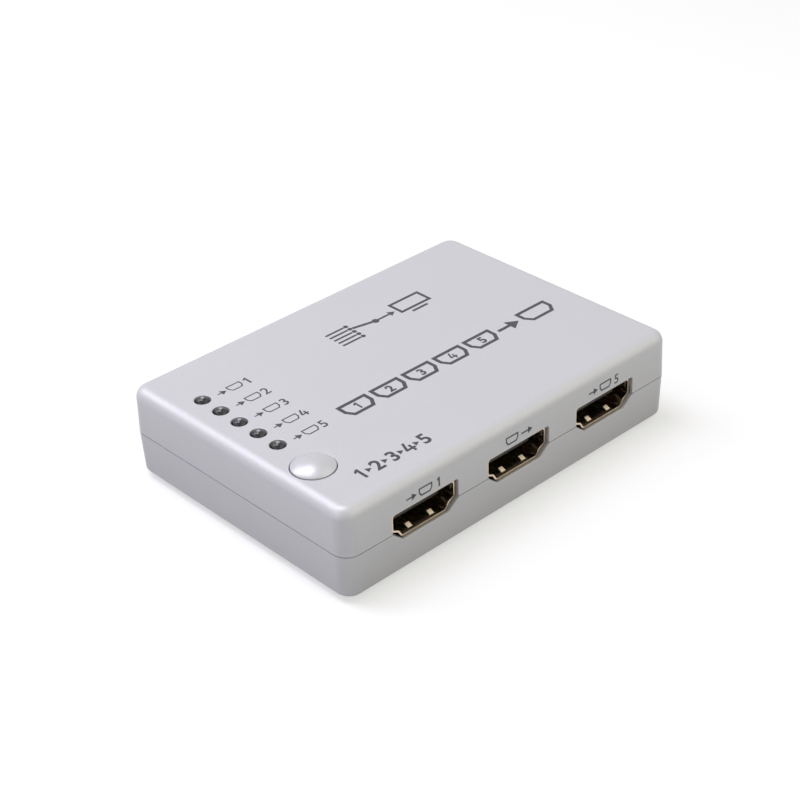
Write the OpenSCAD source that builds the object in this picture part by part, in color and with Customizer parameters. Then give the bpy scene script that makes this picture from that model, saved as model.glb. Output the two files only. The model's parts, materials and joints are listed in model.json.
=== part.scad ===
// Five-input video switch box: a two-part plastic case with three receptacles in the front
// and three in the back, five indicator lamps, a select button and the board that carries them.
// Millimetres, +Z up. The origin lies on the surface the box stands on, under its centre.
// The long side runs along X, the front faces -Y and the two jacks face +X.

/* [Case] */
// Length of the case at its seam
case_l = 83; // [80:0.5:96]
// Width of the case at its seam
case_w = 59; // [57:0.5:72]
// Height of the case without its feet
case_h = 18; // [16.5:0.5:26]
// Height of the seam above the underside of the case
seam_h = 8.7; // [8:0.1:10]
// Thickness of the side walls
wall = 1.8; // [1.5:0.1:2.2]
// Thickness of the top panel
top_t = 1.8; // [1.2:0.1:2.4]
// Thickness of the floor
floor_t = 1.8; // [1.2:0.1:2.4]
// Radius of the upright corners, seen from above
corner_r = 3.2; // [2.8:0.1:5]
// Radius of the top edge
top_edge_r = 2.2; // [0.8:0.1:2.6]
// Radius of the bottom edge
bottom_edge_r = 1; // [0.4:0.1:1.6]
// Draft of the top shell's sides, in degrees
top_draft = 1.25; // [0.5:0.25:2]
// Draft of the bottom shell's sides, in degrees
bottom_draft = 2.2; // [0.5:0.1:3]

/* [Seam] */
// Height of the shadow gap between the shells' outer edges
seam_gap = 0.15; // [0.05:0.05:0.3]
// Depth of the shadow gap
seam_gap_depth = 0.35; // [0.1:0.05:0.5]
// Height of the lip that locates the two shells
lip_h = 1.2; // [0.8:0.1:2]
// Thickness of the lip
lip_t = 0.8; // [0.6:0.1:0.9]
// Clearance round the lip
lip_gap = 0.1; // [0.05:0.05:0.2]

/* [Screws] */
// Distance of each screw from the long sides of the case
post_inset = 5.7; // [5.6:0.1:6.4]
// Radius of the posts under the board
post_r = 3.2; // [3:0.1:3.4]
// Radius of the posts over the board
top_post_r = 2.6; // [2.2:0.1:3]
// Diameter of the screw shanks
screw_d = 2.6; // [2.2:0.1:2.8]
// Diameter of the screw heads
screw_head_d = 4.6; // [4:0.1:4.8]
// Height of the screw heads
screw_head_h = 1.5; // [1:0.1:1.9]
// Depth of the wells that hide the heads
well_depth = 2.2; // [2:0.1:2.8]
// Length of thread above the board
screw_grip = 6; // [4:0.5:7]
// Clearance round a screw in its well and in the board
screw_gap = 0.2; // [0.1:0.05:0.3]
// How far a thread bites into its pilot hole
thread_bite = 0.15; // [0.1:0.05:0.25]
// Diameter of a screw's blunt tip
screw_tip_d = 0.8; // [0.4:0.1:1.2]
// Width of each slot of the cross recess
recess_w = 0.7; // [0.5:0.1:0.9]
// Length of each slot of the cross recess
recess_l = 2.6; // [2:0.1:3]
// Depth of the cross recess
recess_depth = 0.9; // [0.6:0.1:1]

/* [Feet] */
// Diameter of the rubber feet
foot_d = 8; // [6:0.5:10]
// How far the feet stand below the case
foot_h = 1; // [0.6:0.1:3]
// Depth of the seats that hold the feet
foot_sink = 0.5; // [0.3:0.1:0.8]
// Clearance round a foot in its seat
foot_gap = 0.1; // [0.05:0.05:0.3]
// Rounding of a foot's lower edge
foot_edge = 0.4; // [0.2:0.1:0.5]
// Distance of the feet from the short sides
foot_inset_x = 13.5; // [12.5:0.5:20]
// Distance of the feet from the long sides
foot_inset_y = 9.5; // [8.5:0.5:14]

/* [Circuit board] */
// Height of the posts between the floor and the board
standoff_h = 3.35; // [2.8:0.05:3.8]
// Thickness of the board
board_t = 1.6; // [1:0.1:1.8]
// Gap between the board's edge and the walls
board_gap = 0.6; // [0.4:0.1:1]
// Radius of the board's corners
board_corner_r = 1.5; // [0.5:0.5:3]
// Clearance of the board's holes round leads and legs
hole_gap = 0.2; // [0.1:0.05:0.3]
// How far leads and legs stand out under the board
lead_out = 1.2; // [0.6:0.1:1.6]

/* [Receptacles] */
// Distance between neighbouring receptacles
port_pitch = 23; // [20:0.5:24]
// Outer width of a receptacle's metal shell
port_w = 15; // [14:0.1:15.6]
// Outer height of the shell
port_h = 5.5; // [5.2:0.1:6]
// Height of the shell's straight sides
port_side_h = 3.5; // [3:0.1:3.8]
// Width of the shell between its shoulders
port_shoulder_w = 12.2; // [11.8:0.1:12.8]
// Height of the shoulders above the shell's underside
port_shoulder_h = 1.35; // [1.1:0.05:1.4]
// Width of the shell's underside
port_base_w = 10.6; // [10:0.1:11]
// Bend radius at the shell's corners
port_bend_r = 0.9; // [0.6:0.1:1]
// Bend radius at the shoulders
port_shoulder_r = 0.7; // [0.5:0.1:0.8]
// Length of the shell from its mouth to its back
port_depth = 10.8; // [10:0.1:12]
// Thickness of the shell's metal
metal_t = 0.35; // [0.3:0.05:0.5]
// How far the mouth lies behind the seam edge of the case
port_recess = 0.65; // [0:0.05:0.7]
// Clearance of the case's cut-out above and below a shell
port_gap = 0.15; // [0.1:0.05:0.4]
// Clearance of the cut-out beside a shell
port_side_gap = 0.35; // [0.15:0.05:0.5]
// Radius of the cut-out's corners
cutout_r = 0.5; // [0.2:0.1:0.8]
// Width of the legs that fix the shell to the board
leg_w = 1; // [0.8:0.1:1.4]
// Distance of the front legs from the mouth
leg_front = 4.2; // [4:0.1:5]
// Distance of the rear legs from the mouth
leg_rear = 9.4; // [8:0.1:9.6]

/* [Receptacle springs] */
// Width of the spring fingers
finger_w = 1.2; // [1:0.1:1.4]
// Clearance round a finger in its window
finger_gap = 0.25; // [0.15:0.05:0.4]
// Distance of the fingers from the middle of the shell
finger_x = 2.6; // [2:0.1:3]
// Distance of a finger's free end from the mouth
finger_tip = 0.7; // [0.6:0.05:1.3]
// Distance of a finger's root from the mouth
finger_root = 5.2; // [4.6:0.1:5.6]
// Length of the hump near a finger's free end
hump_l = 2; // [1.9:0.1:2.4]
// Length of each of the hump's two ramps
hump_ramp = 0.9; // [0.3:0.05:0.95]
// How far the humps of the lower fingers stand into the shell
lower_hump_h = 0.45; // [0.1:0.05:0.45]
// How far the humps of the upper fingers stand into the shell
upper_hump_h = 0.1; // [0.05:0.05:0.3]
// How far the humps of the side fingers stand into the shell
side_hump_h = 0.1; // [0.05:0.05:0.45]

/* [Receptacle insulator and contacts] */
// Width of the tongue
tongue_w = 11.2; // [10.6:0.1:11.6]
// Thickness of the tongue
tongue_t = 1.5; // [1.2:0.1:1.6]
// Height of the tongue's middle above the board
tongue_z = 2.8; // [2.7:0.05:3]
// Distance of the tongue's tip from the mouth
tongue_tip = 2.3; // [1.6:0.1:2.4]
// Chamfer of the tongue's tip
tongue_chamfer = 0.3; // [0.1:0.05:0.4]
// Distance of the insulator's block from the mouth
block_y = 7.2; // [6.4:0.1:8]
// Clearance of the insulator in its shell, and of contacts in their grooves
fit_gap = 0.05; // [0.02:0.01:0.08]
// Number of contacts over the tongue
upper_contacts = 10; // [6:1:10]
// Number of contacts under the tongue
lower_contacts = 9; // [5:1:9]
// Distance between neighbouring contacts of one row
contact_pitch = 1; // [0.9:0.05:1.05]
// Width of a contact
contact_w = 0.35; // [0.25:0.05:0.4]
// Thickness of a contact
contact_t = 0.15; // [0.1:0.05:0.2]
// Depth of the grooves in the tongue
groove_depth = 0.1; // [0.05:0.05:0.15]
// Distance of the contacts' front ends from the tongue's tip
contact_setback = 0.6; // [0.5:0.1:1]
// Gap between the insulator's back and the contacts' tails
tail_gap = 0.2; // [0.1:0.05:0.4]
// Length of a contact's foot on the board
tail_foot = 0.9; // [0.6:0.1:1.2]

/* [Lamps] */
// Number of lamps
lamps = 5; // [3:1:5]
// Distance of the lamps from the left end of the case
lamp_inset = 6.55; // [6:0.05:8]
// Place of the rearmost lamp, behind the middle of the case
lamp_row_y = 15.6; // [14:0.1:17]
// Distance between neighbouring lamps
lamp_pitch = 5.25; // [4.6:0.05:5.6]
// Diameter of a lamp's body
lamp_d = 2.9; // [2.4:0.1:3.1]
// Height of a lamp from its flange to its tip
lamp_h = 5.3; // [4.6:0.1:6]
// Diameter of a lamp's flange
lamp_flange_d = 3.8; // [3.4:0.1:4]
// Thickness of a lamp's flange
lamp_flange_h = 1; // [0.6:0.1:1.2]
// How far a lamp's tip stands above the case
lamp_proud = 0.5; // [0.2:0.1:1]
// Clearance round a lamp in the top panel
lamp_gap = 0.1; // [0.05:0.05:0.2]
// Distance between a lamp's two leads
lead_pitch = 2.54; // [2:0.02:2.54]
// Width of a lamp's square lead
lead_w = 0.5; // [0.4:0.05:0.6]

/* [Select button] */
// Distance of the button from the left end of the case
button_inset = 6.4; // [6.2:0.1:8]
// Distance of the button from the nearest lamp
button_step = 9.45; // [9:0.05:10]
// Diameter of the button
button_d = 8; // [6.5:0.1:8.2]
// Clearance round the button in the top panel
button_gap = 0.15; // [0.1:0.05:0.3]
// How far the button's straight side stands above the case
button_rise = 0.15; // [0.05:0.05:0.8]
// Height of the button's dome
dome_h = 1.35; // [0.6:0.05:1.6]
// Wall of the hollow cap
cap_wall = 1; // [0.8:0.1:1.4]
// Depth of the cap's skirt below the top panel
skirt_h = 1.6; // [1.2:0.1:2.2]
// Width of the two lugs that hold the button under the panel
lug_w = 3; // [2:0.1:4]
// How far the lugs reach past the button's side
lug_reach = 1.2; // [0.9:0.1:1.4]
// Thickness of the lugs
lug_t = 0.8; // [0.6:0.1:1.2]
// Diameter of the stem that presses the switch
stem_d = 3; // [2.4:0.1:3.4]
// Gap between the lugs and the panel, and between the stem and the plunger
rest_gap = 0.03; // [0.02:0.01:0.05]

/* [Push switch] */
// Side of the square switch
switch_w = 6; // [5.6:0.1:6.2]
// Height of the switch's base
switch_base_h = 3.4; // [3.2:0.1:4]
// Height of the plunger's tip above the board
plunger_h = 5; // [4.8:0.1:6]
// Diameter of the plunger
plunger_d = 3.4; // [2.8:0.1:3.6]
// Radius of the plunger's collar inside the base
collar_r = 2.2; // [2.1:0.05:2.3]
// Thickness of the collar
collar_t = 0.7; // [0.5:0.1:0.8]
// Radius of the nib that presses the snap dome
nib_r = 0.8; // [0.5:0.1:1]
// Radius of the cavity in the base
cavity_r = 2.45; // [2.4:0.05:2.6]
// Thickness of the base's floor
base_floor = 1; // [0.8:0.1:1.2]
// Thickness of the steel cover
cover_t = 0.3; // [0.2:0.05:0.4]
// Width of the cover's two side tabs
cover_tab_w = 3; // [2:0.1:4]
// Length of the cover's side tabs
cover_tab_h = 2.2; // [1.5:0.1:2.6]
// Clearance of the plunger in the cover
plunger_gap = 0.15; // [0.1:0.05:0.2]
// Radius of the snap dome
snap_r = 2.2; // [2:0.05:2.3]
// Height of the snap dome
snap_h = 0.65; // [0.5:0.05:0.7]
// Thickness of the snap dome
snap_t = 0.1; // [0.08:0.01:0.14]
// Radius of the snap dome's flatter crown
snap_crown_r = 0.9; // [0.6:0.05:1.2]
// Rise of the crown above its own edge
snap_crown_h = 0.05; // [0.02:0.01:0.1]
// Distance between the two terminals of one side
terminal_pitch = 4.5; // [4:0.1:4.6]
// Width of a terminal
terminal_w = 0.7; // [0.5:0.1:0.8]
// Thickness of a terminal
terminal_t = 0.3; // [0.2:0.05:0.35]
// Height of the terminals where they leave the base
terminal_h = 0.6; // [0.4:0.1:1]
// Gap between a terminal and the side of the base
terminal_gap = 0.3; // [0.2:0.05:0.4]

/* [Power jack] */
// Place of the power jack, behind the middle of the case
power_y = 7; // [6.6:0.1:10]
// Length of the jack's block
power_l = 11; // [10.5:0.5:13]
// Width of the jack's block
power_w = 8; // [7:0.1:8.6]
// Height of the jack's block
power_h = 6.4; // [6:0.1:7]
// Height of the jack's axis above the board
power_axis_h = 3.3; // [3.1:0.1:3.6]
// Radius of the round nose in the case wall
power_nose_r = 3; // [2.6:0.1:3]
// Radius of the jack's bore
power_bore_r = 1.95; // [1.8:0.05:2.2]
// Depth of the jack's bore
power_bore_depth = 9.5; // [8.5:0.1:10]
// Radius of the centre pin
power_pin_r = 0.65; // [0.5:0.05:0.8]
// Radius of the pin's shank in the back of the block
power_shank_r = 1; // [0.9:0.05:1.4]
// Distance of the pin's tip from the mouth
power_pin_setback = 1; // [0.5:0.1:2]

/* [Remote jack] */
// Place of the remote jack, in front of the middle of the case
remote_y = 7; // [6.6:0.1:10]
// Length of the jack's block
remote_l = 12; // [11.5:0.5:13]
// Width of the jack's block
remote_w = 6.4; // [5.8:0.1:7]
// Height of the jack's block
remote_h = 5.4; // [5.2:0.1:6]
// Height of the jack's axis above the board
remote_axis_h = 2.7; // [2.6:0.1:3]
// Width and height of the square nose in the case wall
remote_nose_w = 5; // [4.6:0.1:5]
// Radius of the jack's bore
remote_bore_r = 1.8; // [1.7:0.05:1.9]
// Depth of the jack's bore
remote_bore_depth = 11; // [9:0.5:12]

/* [Both jacks] */
// How far a jack's mouth lies behind the seam edge of the case
jack_recess = 0.3; // [0:0.05:0.5]
// Clearance round a jack's nose in the case wall
nose_gap = 0.15; // [0.1:0.05:0.3]
// Gap between a jack's block and the case wall
block_gap = 0.5; // [0.3:0.1:1]
// Width of a jack's terminals
jack_terminal_w = 1.4; // [1:0.1:1.8]
// Thickness of a jack's terminals
jack_terminal_t = 0.3; // [0.2:0.05:0.4]
// Distance of the side terminals from the block's front
jack_terminal_x = 4; // [3:0.1:5]
// Half height of the contact tabs
jack_tab_h = 0.6; // [0.4:0.1:0.8]

/* [Chips] */
// Side of the selector chip
selector_w = 14; // [12:0.5:15]
// Leads on each side of the selector chip
selector_leads = 20; // [10:1:20]
// Lead pitch of the selector chip
selector_pitch = 0.65; // [0.5:0.05:0.65]
// Thickness of the selector chip
selector_h = 1.4; // [1:0.1:2]
// Length of the microcontroller
micro_l = 10; // [9.8:0.1:11]
// Width of the microcontroller
micro_w = 4; // [3.6:0.1:5]
// Thickness of the microcontroller
micro_h = 1.5; // [1.2:0.1:2]
// Leads on each side of the microcontroller
micro_leads = 8; // [4:1:8]
// Lead pitch of the microcontroller
micro_pitch = 1.27; // [1:0.01:1.27]
// Place of the microcontroller, left of the middle
micro_x = 20; // [17:0.5:22]
// Gap between a chip and the board
chip_lift = 0.15; // [0.1:0.05:0.2]
// Chamfer of a chip's upper edges
chip_bevel = 0.25; // [0.1:0.05:0.4]
// Thickness of a chip's leads
chip_lead_t = 0.15; // [0.1:0.05:0.2]
// How far a chip's leads run out before they bend down
chip_lead_knee = 0.3; // [0.2:0.05:0.5]
// Length of a lead's foot on the board
chip_lead_foot = 0.6; // [0.4:0.05:0.8]
// Gap between neighbouring leads of the selector chip
selector_lead_gap = 0.39; // [0.2:0.01:0.4]
// Gap between neighbouring leads of the microcontroller
micro_lead_gap = 0.77; // [0.5:0.01:0.8]
// Length of the regulator
regulator_l = 6.5; // [6:0.1:7]
// Width of the regulator
regulator_w = 3.5; // [3:0.1:4]
// Thickness of the regulator
regulator_h = 1.6; // [1.4:0.1:2]
// Leads on the regulator's narrow-lead side
regulator_pins = 3; // [2:1:3]
// Lead pitch of the regulator
regulator_pitch = 2.3; // [1.8:0.1:2.4]
// Width of the regulator's leads
regulator_lead_w = 0.9; // [0.6:0.1:1.2]
// Width of the regulator's broad tab
regulator_tab_w = 2.8; // [2:0.1:3.4]
// Place of the regulator, right of the middle
regulator_x = 19; // [16:0.5:20]
// Place of the regulator, behind the middle
regulator_y = 8; // [4:0.5:9]
// Length of the crystal can
crystal_l = 10.5; // [9:0.5:11]
// Width of the crystal can
crystal_w = 4.4; // [4:0.1:5]
// Height of the crystal can
crystal_h = 3.4; // [3:0.1:4]
// Width and thickness of the can's rim
crystal_rim = 0.4; // [0.2:0.1:0.6]
// Radius of the rim's corners
crystal_corner_r = 2; // [1:0.1:2]
// Place of the crystal, in front of the microcontroller
crystal_step = 8; // [7:0.5:9]
// Diameter of the bulk capacitor
capacitor_d = 6.3; // [5:0.1:7]
// Height of the bulk capacitor
capacitor_h = 7; // [5:0.5:7.4]
// Chamfer of the bulk capacitor's edges
capacitor_bevel = 0.4; // [0.2:0.1:0.6]
// Place of the bulk capacitor, right of the middle
capacitor_x = 19; // [15:0.5:21]
// Place of the bulk capacitor, in front of the middle
capacitor_y = 7; // [4:0.5:9]
// Distance between the capacitor's leads
capacitor_pitch = 2.5; // [2:0.1:3]
// Length of a chip resistor
resistor_l = 1.6; // [1:0.1:2]
// Width of a chip resistor
resistor_w = 0.8; // [0.5:0.1:1.2]
// Thickness of a chip resistor
resistor_h = 0.5; // [0.3:0.1:0.8]
// Chip resistors behind each receptacle
port_resistors = 4; // [2:1:6]
// Distance between neighbouring chip resistors
resistor_pitch = 2; // [1.6:0.1:2.4]
// Gap between a receptacle's tails and the chip resistors
resistor_gap = 1.2; // [0.8:0.1:2]

/* [Hidden] */
$fn = 96;

// Every receptacle: its name, its column (-1 left, 1 right) and its row (-1 front, 1 back)
PORTS = [
    ["input_1", -1, -1],
    ["output", 0, -1],
    ["input_5", 1, -1],
    ["input_2", -1, 1],
    ["input_3", 0, 1],
    ["input_4", 1, 1]
];

// Steps in each rounded corner of an outline, and in each rounded edge
CORNER_STEPS = 5;
EDGE_STEPS = 10;
// Overlap of pieces joined into one solid, and of cutters past the face they open
JOIN = 0.5;

// Heights above the surface that the box stands on
case_z = foot_h;
floor_z = case_z + floor_t;
seam_z = case_z + seam_h;
top_z = case_z + case_h;
panel_z = top_z - top_t;
board_under = floor_z + standoff_h;
board_z = board_under + board_t;

// The board stops short of the drafted walls
wall_lean = (seam_z - board_under) * tan(bottom_draft);
board_l = case_l - 2 * (wall + wall_lean + board_gap);
board_w = case_w - 2 * (wall + wall_lean + board_gap);

// The posts stand midway between the outer receptacles and the end walls
post_x = (port_pitch + port_w / 2 + case_l / 2 - wall) / 2;
post_y = case_w / 2 - post_inset;
screw_seat = case_z + well_depth;

// Places of the lamps and of the button
lamp_x = -case_l / 2 + lamp_inset;
button_x = -case_l / 2 + button_inset;
button_y = lamp_row_y - (lamps - 1) * lamp_pitch - button_step;
lamp_base = top_z + lamp_proud - lamp_h;
plunger_z = board_z + plunger_h;
function lamp_y(i) = lamp_row_y - (i - 1) * lamp_pitch;

// Mouths and block fronts of the two jacks on the right-hand side
jack_mouth = case_l / 2 - jack_recess;
jack_front = case_l / 2 - wall - block_gap;
power_bore_end = jack_mouth - power_bore_depth;

// Direction of a vector
function unit(v) = v / norm(v);

// Normal of the edge from a to b, pointing out of a counter-clockwise outline
function edge_normal(a, b) = let (d = unit(b - a)) [d[1], -d[0]];

// Outline moved outwards by a distance, with mitred corners
function grown(points, by) =
    let (n = len(points))
    [for (i = [0 : n - 1])
        let (
            before = edge_normal(points[(i + n - 1) % n], points[i]),
            after = edge_normal(points[i], points[(i + 1) % n])
        )
        points[i] + by * (before + after) / (1 + before * after)];

// Angle turned between two directions, the short way round
function short_turn(angle) = angle > 180 ? angle - 360 : angle < -180 ? angle + 360 : angle;

// Arc of radius r in the corner at b, between its neighbours a and c
function corner_arc(a, b, c, r) =
    let (
        u = unit(a - b),
        v = unit(c - b),
        half = acos(u * v) / 2,
        centre = b + unit(u + v) * r / sin(half),
        first = b + u * r / tan(half) - centre,
        last = b + v * r / tan(half) - centre,
        start = atan2(first[1], first[0]),
        turn = short_turn(atan2(last[1], last[0]) - start)
    )
    [for (i = [0 : CORNER_STEPS])
        let (angle = start + turn * i / CORNER_STEPS)
        centre + r * [cos(angle), sin(angle)]];

// Outline with each corner rounded to its own radius
function rounded(points, radii) =
    let (n = len(points))
    [for (i = [0 : n - 1])
        each corner_arc(points[(i + n - 1) % n], points[i], points[(i + 1) % n], radii[i])];

// Rounded edge of a section: points of [inset, height] about a centre, from one angle to another
function edge_arc(inset, z, r, from, to) =
    [for (i = [0 : EDGE_STEPS])
        let (angle = from + (to - from) * i / EDGE_STEPS)
        [inset - r * cos(angle), z + r * sin(angle)]];

// Section of the top shell's outside, from the seam to the top panel
top_arc_z = top_z - top_edge_r;
top_arc_inset = (top_arc_z - seam_z) * tan(top_draft) + top_edge_r / cos(top_draft);
top_section = concat(
    [
        [seam_gap_depth, seam_z],
        [seam_gap_depth, seam_z + seam_gap],
        [seam_gap * tan(top_draft), seam_z + seam_gap]
    ],
    edge_arc(top_arc_inset, top_arc_z, top_edge_r, top_draft, 90)
);

// Section of the bottom shell's outside, from the underside to the seam
bottom_arc_z = case_z + bottom_edge_r;
bottom_arc_inset = (seam_z - bottom_arc_z) * tan(bottom_draft) + bottom_edge_r / cos(bottom_draft);
bottom_section = concat(
    edge_arc(bottom_arc_inset, bottom_arc_z, bottom_edge_r, -90, -bottom_draft),
    [[0, seam_z]]
);

// Sections of the two cavities, measured from the inside of the walls
top_cavity = [[0, seam_z - JOIN], [0, seam_z], [(panel_z - seam_z) * tan(top_draft), panel_z]];
bottom_cavity = [
    [(seam_z - floor_z) * tan(bottom_draft), floor_z],
    [0, seam_z],
    [0, seam_z + lip_h + JOIN]
];

// Outline of the case's cut-out for a receptacle, without the shoulders of the shell inside it
cutout_half_w = port_w / 2 + port_side_gap - port_gap;
port_cutout = rounded(
    grown(
        [
            [-port_base_w / 2, 0],
            [port_base_w / 2, 0],
            [cutout_half_w, port_h - port_side_h],
            [cutout_half_w, port_h],
            [-cutout_half_w, port_h],
            [-cutout_half_w, port_h - port_side_h]
        ],
        port_gap
    ),
    [for (i = [1 : 6]) cutout_r]
);

// Outline of a receptacle's shell, seen from its mouth, standing on the board
port_outline = rounded(
    [
        [-port_base_w / 2, 0],
        [port_base_w / 2, 0],
        [port_shoulder_w / 2, port_shoulder_h],
        [port_w / 2, port_h - port_side_h],
        [port_w / 2, port_h],
        [-port_w / 2, port_h],
        [-port_w / 2, port_h - port_side_h],
        [-port_shoulder_w / 2, port_shoulder_h]
    ],
    [
        port_bend_r, port_bend_r, port_shoulder_r, port_shoulder_r,
        port_bend_r, port_bend_r, port_shoulder_r, port_shoulder_r
    ]
);

// Block with rounded upright corners whose sides follow a section of [inset, height] points
module drafted_block(l, w, r, section) {
    first_z = section[0][1];
    last_z = section[len(section) - 1][1];
    edge = [for (p = section) [r - p[0], p[1]]];
    mirrored = [for (i = [len(section) - 1 : -1 : 0]) [section[i][0] - w / 2, section[i][1]]];
    rim = concat(edge, [[0, last_z], [0, first_z]]);
    rotate([90, 0, 90])
        linear_extrude(l - 2 * r, center = true)
            polygon(concat([for (p = section) [w / 2 - p[0], p[1]]], mirrored));
    for (side = [0, 180]) {
        rotate(side)
            translate([l / 2 - r, 0, 0])
                rotate([90, 0, 0])
                    linear_extrude(w - 2 * r, center = true)
                        polygon(rim);
        rotate(side)
            translate([l / 2 - r, w / 2 - r, 0])
                rotate_extrude(angle = 90)
                    polygon(rim);
        rotate(side)
            translate([l / 2 - r, r - w / 2, 0])
                rotate(-90)
                    rotate_extrude(angle = 90)
                        polygon(rim);
    }
}

// Drafted block that lies a distance inside the outside of the case
module inset_block(inset, section) {
    drafted_block(case_l - 2 * inset, case_w - 2 * inset, corner_r - inset, section);
}

// Children at the four corners of a rectangle
module at_corners(x, y) {
    for (side_x = [-1, 1], side_y = [-1, 1])
        translate([side_x * x, side_y * y, 0])
            children();
}

// Flat outline in X and Z, pushed along Y from one place to another
module along_y(from, to) {
    translate([0, to, 0])
        rotate([90, 0, 0])
            linear_extrude(to - from)
                children();
}

// Flat outline in Y and Z, pushed along X to both sides of the middle
module across_x(width) {
    rotate([90, 0, 90])
        linear_extrude(width, center = true)
            children();
}

// Cylinder along X from one place to another
module rod_x(from, to, r) {
    translate([from, 0, 0])
        rotate([0, 90, 0])
            cylinder(h = to - from, r = r);
}

// Block given by its lowest and highest corners
module span(low, high) {
    translate(low)
        cube(high - low);
}

// A receptacle's own frame: its mouth at Y 0, its depth along +Y, the board at Z 0
module at_port(port) {
    translate([port[1] * port_pitch, port[2] * (case_w / 2 - port_recess), board_z])
        rotate(port[2] < 0 ? 0 : 180)
            children();
}

// Frames of the two jacks: X as in the case, the jack's own middle at Y 0, the board at Z 0
module at_power_jack() {
    translate([0, power_y, board_z])
        children();
}

module at_remote_jack() {
    translate([0, -remote_y, board_z])
        children();
}

// Noses of the two jacks about their axes, from one place to another, grown by a clearance
module power_nose(from, to, gap = 0) {
    rod_x(from, to, power_nose_r + gap);
}

module remote_nose(from, to, gap = 0) {
    half = remote_nose_w / 2 + gap;
    span([from, -half, -half], [to, half, half]);
}

module at_switch() {
    translate([button_x, button_y, board_z])
        children();
}

// Cutters for the receptacles and the jacks in the walls of both shells
module wall_openings() {
    for (port = PORTS)
        at_port(port)
            along_y(-port_recess - JOIN, wall + JOIN)
                polygon(port_cutout);
    at_power_jack()
        translate([0, 0, power_axis_h])
            power_nose(jack_front - JOIN, case_l / 2 + JOIN, nose_gap);
    at_remote_jack()
        translate([0, 0, remote_axis_h])
            remote_nose(jack_front - JOIN, case_l / 2 + JOIN, nose_gap);
}

module top_shell() {
    pilot_r = screw_d / 2 - thread_bite;
    color("silver")
    difference() {
        union() {
            difference() {
                inset_block(0, top_section);
                inset_block(wall, top_cavity);
                inset_block(
                    wall - lip_t - lip_gap,
                    [[0, seam_z - JOIN], [0, seam_z + lip_h + lip_gap]]
                );
            }
            at_corners(post_x, post_y)
                translate([0, 0, board_z])
                    cylinder(h = panel_z + JOIN - board_z, r = top_post_r);
        }
        wall_openings();
        at_corners(post_x, post_y)
            translate([0, 0, board_z - JOIN])
                cylinder(h = screw_grip + 2 * JOIN, r = pilot_r);
        for (i = [1 : lamps])
            translate([lamp_x, lamp_y(i), panel_z - JOIN])
                cylinder(h = top_t + 2 * JOIN, r = lamp_d / 2 + lamp_gap);
        translate([button_x, button_y, panel_z - JOIN])
            cylinder(h = top_t + 2 * JOIN, r = button_d / 2 + button_gap);
    }
}

module bottom_shell() {
    color("darkgray")
    difference() {
        union() {
            difference() {
                union() {
                    inset_block(0, bottom_section);
                    inset_block(wall - lip_t, [[0, seam_z - JOIN], [0, seam_z + lip_h]]);
                }
                inset_block(wall, bottom_cavity);
            }
            at_corners(post_x, post_y)
                translate([0, 0, floor_z - JOIN])
                    cylinder(h = standoff_h + JOIN, r = post_r);
        }
        wall_openings();
        translate([0, 0, board_under - lead_out - hole_gap])
            linear_extrude(lead_out + hole_gap + JOIN)
                pin_holes();
        at_corners(post_x, post_y) {
            translate([0, 0, case_z - JOIN])
                cylinder(h = well_depth + JOIN, r = screw_head_d / 2 + screw_gap);
            translate([0, 0, case_z])
                cylinder(h = board_z - case_z, r = screw_d / 2 + screw_gap);
        }
        at_corners(case_l / 2 - foot_inset_x, case_w / 2 - foot_inset_y)
            translate([0, 0, case_z - JOIN])
                cylinder(h = foot_sink + JOIN, r = foot_d / 2 + foot_gap);
    }
}

// Pan-head screw with a pointed end, standing head down, its head's seat at Z 0
module case_screw() {
    shank_l = board_z + screw_grip - screw_seat;
    r = screw_d / 2;
    head_r = screw_head_d / 2;
    head_bevel = screw_head_h / 2;
    difference() {
        rotate_extrude()
            polygon([
                [0, -screw_head_h],
                [head_r - head_bevel, -screw_head_h],
                [head_r, -screw_head_h + head_bevel],
                [head_r, 0],
                [r, 0],
                [r, shank_l - r],
                [screw_tip_d / 2, shank_l],
                [0, shank_l]
            ]);
        for (turn = [0, 90])
            rotate(turn)
                translate([-recess_l / 2, -recess_w / 2, -screw_head_h - JOIN])
                    cube([recess_l, recess_w, recess_depth + JOIN]);
    }
}

module case_screws() {
    color("dimgray")
    at_corners(post_x, post_y)
        translate([0, 0, screw_seat])
            case_screw();
}

module rubber_feet() {
    r = foot_d / 2;
    color("black")
    at_corners(case_l / 2 - foot_inset_x, case_w / 2 - foot_inset_y)
        rotate_extrude()
            polygon([
                [0, 0],
                [r - foot_edge, 0],
                [r, foot_edge],
                [r, foot_h + foot_sink],
                [0, foot_h + foot_sink]
            ]);
}

// Room for the legs, leads and terminals that pass through the board and stand out under it
module pin_holes() {
    for (port = PORTS)
        translate([port[1] * port_pitch, port[2] * (case_w / 2 - port_recess)])
            rotate(port[2] < 0 ? 0 : 180)
                for (side = [-1, 1], leg_y = [leg_front, leg_rear])
                    translate([side * (port_w - metal_t) / 2, leg_y])
                        square([metal_t + 2 * hole_gap, leg_w + 2 * hole_gap], center = true);
    for (i = [1 : lamps], side = [-1, 1])
        translate([lamp_x, lamp_y(i) + side * lead_pitch / 2])
            circle(d = lead_w * sqrt(2) + 2 * hole_gap);
    translate([button_x, button_y])
        for (side = [-1, 1], end = [-1, 1])
            translate([side * terminal_pitch / 2, end * terminal_place()])
                square([terminal_w + 2 * hole_gap, terminal_t + 2 * hole_gap], center = true);
    translate([0, power_y])
        jack_holes(power_w, power_l);
    translate([0, -remote_y])
        jack_holes(remote_w, remote_l);
    for (side = [-1, 1])
        translate([capacitor_x + side * capacitor_pitch / 2, -capacitor_y])
            circle(d = lead_w + 2 * hole_gap);
}

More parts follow.
